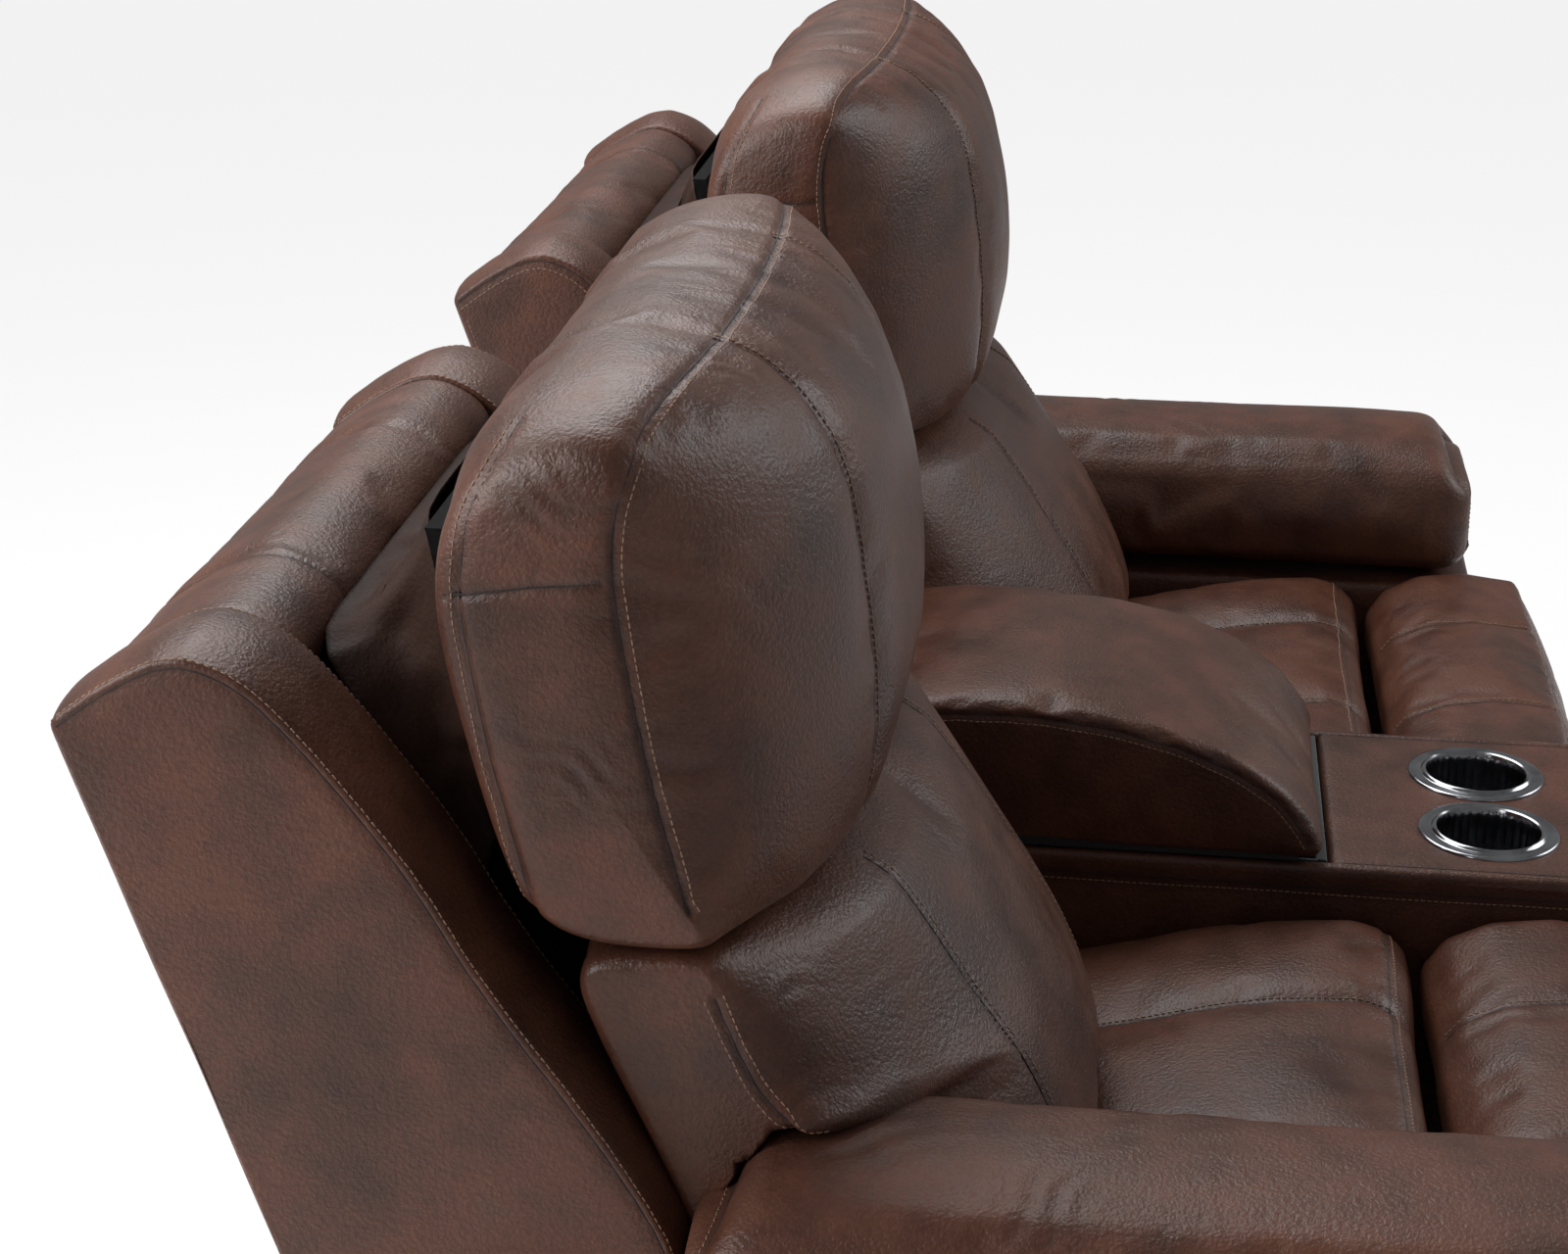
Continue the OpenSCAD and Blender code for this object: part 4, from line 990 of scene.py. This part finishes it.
# %% Model the wings and the rail
WING_LINE = rounded([(158, 460), (158, 600), (171, 636), (214, 705), (277, 791), (314, 857),
                     (343, 896), (373, 934), (404, 968), (425, 983), (458, 992), (498, 972),
                     (534, 945), (534, 945), (367, 460), (367, 460)][::-1], 1)
for label, x0, x1, seed in (("outer", BACK_X[1] - WING_W, BACK_X[1], 71),
                            ("inner", BACK_X[0], BACK_X[0] + WING_W, 76)):
    wing = Cover(WING_LINE, x0, x1, UP_FACE, 0, 4, 0.10, seam=0.5, step=7, middle=(330, 720),
                 bulge=2, puff=6)
    corner, foot = wing.row((531, 944)), wing.row((158, 470))
    joins = [seam(points(wing.co, wing.ids(c, corner, foot)), folds=0.12, gap=16, reach=14,
                  stitch=(way,)) for c, way in ((0, -6.5), (wing.last, 6.5))]
    both_sides(label + "_wing", wing.co, wing.faces, "back", joins, seed, lumps=(0.6, 160),
               fill=0.9, nodes=("back_shell",))

RAIL_LINE = rounded([(416, 890), (404, 944), (408, 968), (432, 984), (458, 990), (498, 970),
                     (534, 944), (534, 944), (513, 893), (443, 876)][::-1], 1)
RAIL_SEAM = 0.6
rail = Cover(RAIL_LINE, 249.0, 770.0, UP_FACE, 0, 2, 0.05, seam=RAIL_SEAM, middle=(470, 940),
             caps=4)
crest, root = rail.row((531, 944)), rail.row((410, 915))
columns = (rail.column(-RAIL_SEAM), rail.column(RAIL_SEAM))
rail_co = stuffed(rail, rail.ends() | rail.band(root, crest) |
                  rail.band(0, rail.n - 1, columns), cap=2)
rail_joins = [seam(points(rail_co, rail.ids(columns[1], crest, root)), folds=0.2, gap=14,
                   reach=14, stitch=())]
both_sides("back_rail", rail_co, rail.faces, "back", rail_joins, 81, lumps=(0.7, 140),
           fill=0.85, nodes=("back_shell",))

PANEL_LINE = rounded([(310, 290), (369, 460), (535, 943), (517, 943), (351, 460), (292, 290)], 1)
panel = Cover(PANEL_LINE, BACK_X[0] + 1, BACK_X[1] - 1, (1.0, 0.0), 0, 5, 0.02, seam=0.5,
              step=11, middle=(413, 600), caps=2)
low_row, high_row = panel.row((310, 292)), panel.row((534, 942))
panel_joins = [seam(points(panel.co, panel.ids(c, low_row, high_row)), folds=0.5, gap=16,
                    reach=18, stitch=(way,)) for c, way in ((3, -7), (panel.last - 3, 7))]
both_sides("rear_cover", panel.co, panel.faces, "back", panel_joins, 91, lumps=(1.2, 170),
           fill=0.9, nodes=("back_shell",))

# %% [markdown]
# ## Headrest gussets
# When the headrest tilts forward, a gathered web of thin soft leather fills the gap to the back.
# It is one sheet that crosses the joint, parented to neither body and shaped for this pose: from
# the headrest's rear edge it sags inwards in folds to the wings and the rail.

# %% Model the gussets
WEB_X = (254.0, 765.0)
WEB_ROWS = 19


def web_edge(side, corner, top):
    """One edge of the sheet: up one side, across the top and down the other side."""
    up = [(WEB_X[0], *q) for q in side] + [(WEB_X[0] + 14, *corner)]
    over = [(x, *top) for x in np.linspace(WEB_X[0] + 40, WEB_X[1] - 40, 13)]
    return smoothed(up + over + [(sum(WEB_X) - x, y, z) for x, y, z in up[::-1]], 2)


def gusset_sheet():
    """A sheet of points in millimetres: its first edge on the headrest, its last on the back."""
    a = dense(web_edge([(278, 836), (300, 930), (322, 1024)], (336, 1040), (337, 1043)), 6.0)
    line = web_edge([(296, 812), (345, 884), (388, 945)], (404, 956), (407, 960))
    at = np.linspace(0, 1, len(a))
    gone = along(line) / along(line)[-1]
    b = np.stack([np.interp(at, gone, line[:, k]) for k in range(3)], axis=1)
    middle = np.array([sum(WEB_X) / 2, 345, 880])
    rng = np.random.default_rng(101)
    s = along(a)
    folds = smooth_wave(s, 17, rng) * 9 + smooth_wave(s, 31, rng) * 9
    rows = []
    for t in np.linspace(0, 1, WEB_ROWS):
        p = mix(a, b, t)
        inward = middle - p
        inward[:, 0] *= np.where(np.abs(inward[:, 0]) > 200, 0.6, 0.05)
        inward /= np.maximum(np.linalg.norm(inward, axis=1, keepdims=True), 1)
        sag = 4 * t * (1 - t)
        shifted = folds * np.cos(1.4 * math.pi * t + s / 90)
        rows.append(p + inward * (26 * sag + shifted * sag)[:, None])
    co = np.vstack(rows)
    n = len(a)
    faces = [(r * n + i, r * n + i + 1, (r + 1) * n + i + 1, (r + 1) * n + i)
             for r in range(len(rows) - 1) for i in range(n - 1)]
    return co, faces


# The sheet's darker leather is painted shade for the deep gap behind the headrest
sheet_co, sheet_faces = gusset_sheet()
for side, flip in SIDES.items():
    web = mesh_object(side + "_gusset_web", sheet_co * np.array([flip, 1, 1]),
                      [f[::-1] for f in sheet_faces] if flip < 0 else sheet_faces, SHADED_HIDE)
    web_sub = web.modifiers.new("Finer", "SUBSURF")
    web_sub.levels = web_sub.render_levels = 1
    wall = web.modifiers.new("Wall", "SOLIDIFY")
    wall.thickness, wall.offset = 0.0012, 0.0
    select_only(web)
    for modifier in ("Finer", "Wall"):
        bpy.ops.object.modifier_apply(modifier=modifier)
    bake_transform(web)
    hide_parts(side + "_headrest_gusset")

# %% [markdown]
# ## Leather-covered boards
# The arms and the console are wooden boxes wrapped in leather over thin foam. Each is a cube that
# is subdivided in edit mode; its rows are then spread so that they crowd at the edges, the edges
# are rounded, and the middle of the shown faces swells by a few millimetres.

# %% A padded box
def padded_box(low, high, radius=9.0, puff=3.0, faces="xyz", cuts=18, dent=None):
    """Points and faces in millimetres of a leather-wrapped box between two corners."""
    bpy.ops.object.select_all(action="DESELECT")
    bpy.ops.mesh.primitive_cube_add(size=1)
    made = bpy.context.active_object
    bpy.ops.object.mode_set(mode="EDIT")
    bpy.ops.mesh.select_all(action="SELECT")
    bpy.ops.mesh.subdivide(number_cuts=cuts)
    bpy.ops.object.mode_set(mode="OBJECT")
    unit = np.array([v.co for v in made.data.vertices])
    quads = [tuple(f.vertices) for f in made.data.polygons]
    bpy.data.objects.remove(made)
    low, high = np.array(low, float), np.array(high, float)
    place = np.rint((unit + 0.5) * (cuts + 1)).astype(int)
    co = np.empty_like(unit)
    for k in range(3):
        size = high[k] - low[k]
        r = min(radius, size * 0.49)
        edge = [0, 0.18 * r, 0.5 * r, r]
        rows = np.array(edge + list(np.linspace(r, size - r, cuts - 4)[1:-1]) +
                        [size - e for e in edge[::-1]])
        co[:, k] = low[k] + rows[place[:, k]]
    r = np.minimum(radius, (high - low) * 0.49)
    core = np.clip(co, low + r, high - r)
    away = co - core
    far = np.linalg.norm(away / r, axis=1, keepdims=True)
    co = core + away / np.maximum(far, 1)
    share = (co - low) / (high - low)
    hump = 1 - (2 * np.clip(share, 0, 1) - 1) ** 4
    soft = np.ones(len(co)) if dent is None else dent(co)
    for k, axis in enumerate("xyz"):
        if axis in faces:
            others = [j for j in range(3) if j != k]
            amount = puff * hump[:, others[0]] * hump[:, others[1]] * soft
            way = np.where(place[:, k] == 0, -1, np.where(place[:, k] == cuts + 1, 1, 0))
            co[:, k] += way * amount
    return co, quads


def straight(*corners, **facts):
    """A seam along straight lines between corners."""
    return seam(dense(np.array(corners, float), 8.0), **facts)


# %% Cover the arms
def clear_of_switch(co):
    """No foam under the switch plate, so the leather lies flat there."""
    y = np.abs(co[:, 1] + 270) - 66
    z = np.abs(co[:, 2] - 440) - 28
    return np.where(co[:, 0] > 900, ease(np.maximum(y, z) / 40), 1.0)


arm_box = padded_box((690, -455, 40), (925, 130, 529), radius=12, puff=2.2, faces="xy", cuts=26,
                     dent=clear_of_switch)
arm_box_joins = [straight(a, b, folds=folds, gap=gap, reach=reach, stitch=(way,))
                 for a, b, folds, gap, reach, way in (
                     ((925, -446, 60), (925, -446, 520), 0.7, 18, 20, -6.5),
                     ((699, -455, 60), (699, -455, 520), 0.7, 18, 20, 6.5),
                     ((925, -430, 500), (925, 120, 500), 0.9, 17, 22, 6.5),
                     ((700, -455, 500), (915, -455, 500), 0.9, 15, 20, 6.5))]
rear_box = padded_box((910, 110, 40), (925, 330, 529), radius=7, puff=1.5, faces="x", cuts=16)
rear_box_joins = [straight((925, 132, 60), (925, 132, 515), folds=0.5, stitch=(6.5,))]
for side, flip in SIDES.items():
    dressed(side + "_arm_cover", *arm_box, "base", arm_box_joins, lumps=(0.5, 170), fill=None,
            seed=111 + (flip < 0), flip=flip, nodes=(side + "_arm_frame",))
    dressed(side + "_arm_rear_side", *rear_box, "base", rear_box_joins, lumps=(0.4, 170),
            fill=None, seed=113 + (flip < 0), flip=flip)

# %% [markdown]
# ## Console body
# The console has two padded sides, a front, and a deck with two cup holders. Behind the deck is a
# storage well lined with black felt, which shows when the lid is up.

# %% Cover the console
box_co, box_faces = padded_box((137, -499, 90), (151, 155, 575), radius=6.8, puff=1.6,
                               faces="x", cuts=24)
side_joins = [straight((151, -470, 100), (151, -470, 556), folds=0.5, gap=17),
              straight((151, -470, 556), (151, 150, 556), folds=0.7, gap=17)]
both_sides("console_side", box_co, box_faces, "base", side_joins, 121, lumps=(0.5, 150),
           fill=None, nodes=("console_box",))
box_co, box_faces = padded_box((-150, -500, 90), (150, -486, 558), radius=6.8, puff=2.5,
                               faces="y", cuts=22)
dressed("console_front", box_co, box_faces, "base", lumps=(0.6, 150), fill=None, seed=123)

DECK_TOP = 575
deck_co, deck_faces = padded_box((-151, -500, 557.2), (151, -263.5, DECK_TOP), radius=8.5,
                                 puff=0.0, faces="", cuts=28)
deck_joins = [straight((*a, DECK_TOP), (*b, DECK_TOP), folds=0.5, gap=15, reach=14, deep=1.8,
                       stitch=(way,))
              for a, b, way in (((-139, -492), (-139, -268), 6), ((139, -492), (139, -268), -6),
                                ((-136, -490), (136, -490), -6))]
deck = dressed("console_deck_cover", deck_co, deck_faces, "base", deck_joins, lumps=(0.3, 120),
               fill=None, seed=124, nodes=("console_deck",))

CUPS = [(61.5, -398.0), (-61.5, -398.0)]
for x, y in CUPS:
    bpy.ops.object.select_all(action="DESELECT")
    bpy.ops.mesh.primitive_cylinder_add(vertices=64, radius=0.0455, depth=0.08,
                                        location=(x * MM, y * MM, 0.566))
    drill = bpy.context.active_object
    bpy.context.view_layer.objects.active = deck
    bore = deck.modifiers.new("Cup bore", "BOOLEAN")
    bore.object, bore.operation, bore.solver = drill, "DIFFERENCE", "EXACT"
    bpy.ops.object.modifier_apply(modifier="Cup bore")
    bpy.data.objects.remove(drill)
print("deck", len(deck.data.polygons), "faces after boring")

FELT = plain("black_felt", "#101011", "#1d1d1f", 2.5, 0.95, height=0.0004, Sheen_Weight=0.4)
lining_parts = [((-136.5, -262, 285), (136.5, 140, 300)), ((-136.5, -262, 285), (-132, 140, 574)),
                ((132, -262, 285), (136.5, 140, 574)), ((-136.5, -262, 285), (136.5, -252, 574)),
                ((-150, 139, 90), (150, 154.5, 574.5))]
for k, (low, high) in enumerate(lining_parts):
    co, quads = padded_box(low, high, radius=2.0, puff=0.0, faces="", cuts=6)
    lining = mesh_object("console_lining_%d" % (k + 1), co, quads, FELT if k < 4 else HIDE)
    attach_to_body(lining, "base")

# %% [markdown]
# ## Cup holders
# Each cup holder is spun from sheet steel and chromed dark: a wide dished flange with a polished
# bead around the mouth, and a cup with a ribbed wall that keeps a can from turning. The profile is
# drawn once as a line of points and spun around the cup's axis.

# %% Cup holder material and model
def dark_chrome():
    made, tree, shader, place = new_material("dark_chrome", 0.16, metallic=1.0)
    haze = add_node(tree, "TexNoise", {"Vector": place, "Scale": per_metre(22), "Detail": 4.0})
    smudge = add_node(tree, "MapRange", {"Value": haze, "To Min": 0.10, "To Max": 0.22})
    attach(shader, Base_Color=ramp(tree, haze, [(0.3, "#77787c"), (0.7, "#a3a4a8")]),
           Roughness=smudge)
    return made


CHROME = dark_chrome()
CUP_PROFILE = [(0, -71), (36, -71), (40.2, -68.5), (41.6, -64), (41.8, -12), (42.0, -4),
               (42.3, 1.5), (43.2, 3.6), (44.8, 4.4), (46.4, 3.8), (47.2, 2.4), (48.2, 1.9),
               (52, 2.2), (55.6, 2.6), (57.4, 2.3), (58.4, 1.2), (58.5, 0.1), (43.4, 0.1),
               (43.4, -72.5), (0, -72.5)]


def spun_cup(x, y):
    """Spins the profile around the cup's axis with the spin operator and ribs the wall."""
    mesh = bpy.data.meshes.new("cup")
    mesh.from_pydata([(x * MM + r * MM, y * MM, (DECK_TOP + z) * MM) for r, z in CUP_PROFILE],
                     [(k, k + 1) for k in range(len(CUP_PROFILE) - 1)], [])
    made = bpy.data.objects.new("cup", mesh)
    bpy.context.scene.collection.objects.link(made)
    select_only(made)
    bpy.ops.object.mode_set(mode="EDIT")
    bpy.ops.mesh.select_all(action="SELECT")
    bpy.ops.mesh.spin(steps=144, angle=2 * math.pi, center=(x * MM, y * MM, 0.575), axis=(0, 0, 1))
    bpy.ops.mesh.select_all(action="SELECT")
    bpy.ops.mesh.remove_doubles(threshold=0.00002)
    bpy.ops.mesh.normals_make_consistent(inside=False)
    bpy.ops.object.mode_set(mode="OBJECT")
    for v in made.data.vertices:
        r = math.hypot(v.co.x - x * MM, v.co.y - y * MM)
        deep = v.co.z / MM - DECK_TOP
        if 0.0395 < r < 0.0421 and -66 < deep < -3:
            turn = math.atan2(v.co.y - y * MM, v.co.x - x * MM)
            shrink = 1 - 0.03 * (0.5 + 0.5 * math.cos(turn * 36))
            v.co.x = x * MM + (v.co.x - x * MM) * shrink
            v.co.y = y * MM + (v.co.y - y * MM) * shrink
    made.data.materials.append(CHROME)
    made.data.shade_smooth()
    bpy.ops.object.shade_smooth_by_angle(angle=math.radians(40))
    return made


for side, (x, y) in zip(("right", "left"), CUPS):
    cup = spun_cup(x, y)
    cup.name = side + "_cup"
    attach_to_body(cup, "base")
    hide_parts(side + "_cup_holder")
    print(cup.name, len(cup.data.polygons), "faces")

# %% [markdown]
# ## Working parts
# The steel, wood, webbing and plastic parts keep the frame's own shape, which is right for them,
# and get the finish of the real ones, but the headrest's pushrod and frame are near black as
# painted shade for their slot.

# %% Finishes of the working parts
STEEL = plain("black_painted_steel", "#1b1c1e", "#26272a", 6, 0.5, height=0.00015)
BRIGHT = plain("zinc_plated_steel", "#83868a", "#a4a7aa", 5, 0.36, metallic=1.0)
PLASTIC = plain("moulded_black_abs", "#141415", "#1d1d1f", 1.2, 0.45)
# Near-black matt coat: painted shade for the headrest frame in its slot
MATT_SHADE = plain("matt_powder_coat", "#0e0e0f", "#151516", 4, 0.9, Specular_IOR_Level=0.1)
SATIN = plain("satin_nickel_plate", "#77797d", "#8f9195", 2.0, 0.34, metallic=1.0)


def plywood():
    """Birch plywood: long pale grain with darker pores."""
    made, tree, shader, place = new_material("birch_plywood", 0.62)
    grain = add_node(tree, "Mapping", {"Vector": place, "Scale": (0.06, 1.0, 1.0)})
    rings = add_node(tree, "TexNoise", {"Vector": grain, "Scale": per_metre(9), "Detail": 5.0,
                     "Distortion": 0.6})
    tones = ramp(tree, rings, [(0.3, "#9b7a52"), (0.5, "#b8956a"), (0.75, "#c9ab82")])
    attach(shader, Base_Color=tones,
           Normal=add_node(tree, "Bump", {"Height": rings, "Strength": 0.3, "Distance": 0.0002}))
    return made


def webbing():
    """Elastic upholstery strap: a plain weave of 2 mm yarns."""
    made, tree, shader, place = new_material("woven_strap", 0.85)
    warp, weft = [add_node(tree, "TexWave", {"Vector": place, "Scale": per_metre(2) / 6.2},
                           out="Fac", bands_direction=way) for way in "XY"]
    weave = add_node(tree, "Math", {0: warp, 1: weft}, operation="MULTIPLY")
    attach(shader, Base_Color=ramp(tree, weave, [(0.0, "#8f887c"), (0.5, "#c6beb0")]),
           Normal=add_node(tree, "Bump", {"Height": weave, "Strength": 0.5, "Distance": 0.0004}))
    return made


PLY, STRAP = plywood(), webbing()
# The pushrod's black paint and the headrest frame's near-black matt coat are painted shade for the
# slot behind the headrest
FINISHES = {
    "base_rails": STEEL, "feet": PLASTIC, "rear_panel": HIDE, "power_inlet": PLASTIC,
    "power_supply": PLASTIC, "lid_hinge_base": STEEL, "lid_hinge_leaf": STEEL, "lid_board": FELT,
    "switch_plate": SATIN, "recline_rocker": PLASTIC, "headrest_rocker": PLASTIC,
    "recline_motor": PLASTIC, "drive_nut": BRIGHT, "side_plates": STEEL, "seat_box": PLY,
    "seat_webbing": STRAP, "upper_links": STEEL, "lower_links": STEEL, "footrest_board": FELT,
    "back_frame": SHADED_HIDE, "headrest_motor": PLASTIC, "headrest_pushrod": STEEL,
    "headrest_frame": MATT_SHADE}
for node, thing in frame["nodes"].items():
    key = node.replace("left_", "").replace("right_", "")
    finish = FINISHES.get(key, HIDE)
    if not thing.data.materials:
        thing.data.materials.append(finish)
    for slot_number in range(len(thing.data.materials)):
        thing.data.materials[slot_number] = finish
print("finishes on", len(frame["nodes"]), "nodes")

# %% [markdown]
# ## Floor, light and camera
# To the camera the floor and the world are almost white. The light on the leather comes from a
# faint grey world and four softboxes: in front, above, behind, and behind to the left.

# %% Set the stage
def stage_material():
    """A near-white floor that the camera sees as almost pure white."""
    made, tree, shader, place = new_material("pale_floor", 0.9)
    speckle = add_node(tree, "TexNoise", {"Vector": place, "Scale": 30.0})
    attach(shader, Base_Color=ramp(tree, speckle, [(0.3, "#f6f6f6"), (0.7, "#fafafa")]))
    lit = add_node(tree, "Emission", {"Color": (1, 1, 1, 1), "Strength": 1.0})
    rays = add_node(tree, "LightPath", out="Is Camera Ray")
    share = add_node(tree, "Math", {0: rays, 1: 0.85}, operation="MULTIPLY")
    shown = add_node(tree, "MixShader", {0: share, 1: shader.outputs[0], 2: lit})
    tree.links.new(shown, tree.nodes["Material Output"].inputs["Surface"])
    return made


bpy.ops.object.select_all(action="DESELECT")
bpy.ops.mesh.primitive_plane_add(size=60, location=(0, 0, 0))
floor = bpy.context.active_object
floor.name = "studio_floor"
floor.data.materials.append(stage_material())

world = bpy.data.worlds.new("studio")
bpy.context.scene.world = world
world.use_nodes = True
tree = world.node_tree
tree.nodes.clear()
rays = add_node(tree, "LightPath", out="Is Camera Ray")
seen = add_node(tree, "Math", {0: rays, 1: rays.node.outputs["Is Transmission Ray"]},
                operation="MAXIMUM")
soft, white = [add_node(tree, "Background", {"Color": (1, 1, 1, 1), "Strength": strength})
               for strength in (0.24, 1.0)]
shown = add_node(tree, "MixShader", {0: seen, 1: soft, 2: white})
add_node(tree, "OutputWorld", {"Surface": shown})

# Each lamp has a name, its place, what it is aimed at, its size in metres and its power.
for name, place, target, size, power in (
        ("front_softbox", (1.4, -3.0, 2.4), (0, 0, 0.7), (2.4, 1.6), 55),
        ("top_softbox", (1.2, 0.9, 3.0), (0.3, 0, 0.8), (2.4, 1.8), 78),
        ("rear_softbox", (-1.4, 2.8, 2.6), (-0.4, 0.3, 0.8), (2.4, 1.6), 108),
        ("side_softbox", (-3.0, 2.4, 2.0), (-0.6, 0.4, 0.8), (2.0, 1.6), 42)):
    lamp = bpy.data.lights.new(name, "AREA")
    lamp.shape, lamp.size, lamp.size_y, lamp.energy = "RECTANGLE", size[0], size[1], power
    box = bpy.data.objects.new(name, lamp)
    bpy.context.scene.collection.objects.link(box)
    box.location = place
    aim = Vector(target) - Vector(place)
    box.rotation_euler = aim.to_track_quat("-Z", "Y").to_euler()

YAW, PITCH = math.radians(8.44), math.radians(20.34)
PICTURE, FOCAL, SHIFT = 1600, 3000, (55, -12)    # the view in pixels of its own width
lens = bpy.data.cameras.new("view")
camera = bpy.data.objects.new("view", lens)
bpy.context.scene.collection.objects.link(camera)
camera.location = (-2.386, -0.098, 1.606)
aim = Vector((math.cos(PITCH) * math.cos(YAW), math.cos(PITCH) * math.sin(YAW),
              -math.sin(PITCH)))
camera.rotation_euler = aim.to_track_quat("-Z", "Y").to_euler()
lens.sensor_width, lens.lens = 36.0, 36.0 * FOCAL / PICTURE
lens.shift_x, lens.shift_y = SHIFT[0] / PICTURE, SHIFT[1] / PICTURE
lens.clip_start, lens.clip_end = 0.05, 60
bpy.context.scene.camera = camera
bpy.context.scene.view_settings.view_transform = "Standard"

# %% Finish
bpy.context.view_layer.update()
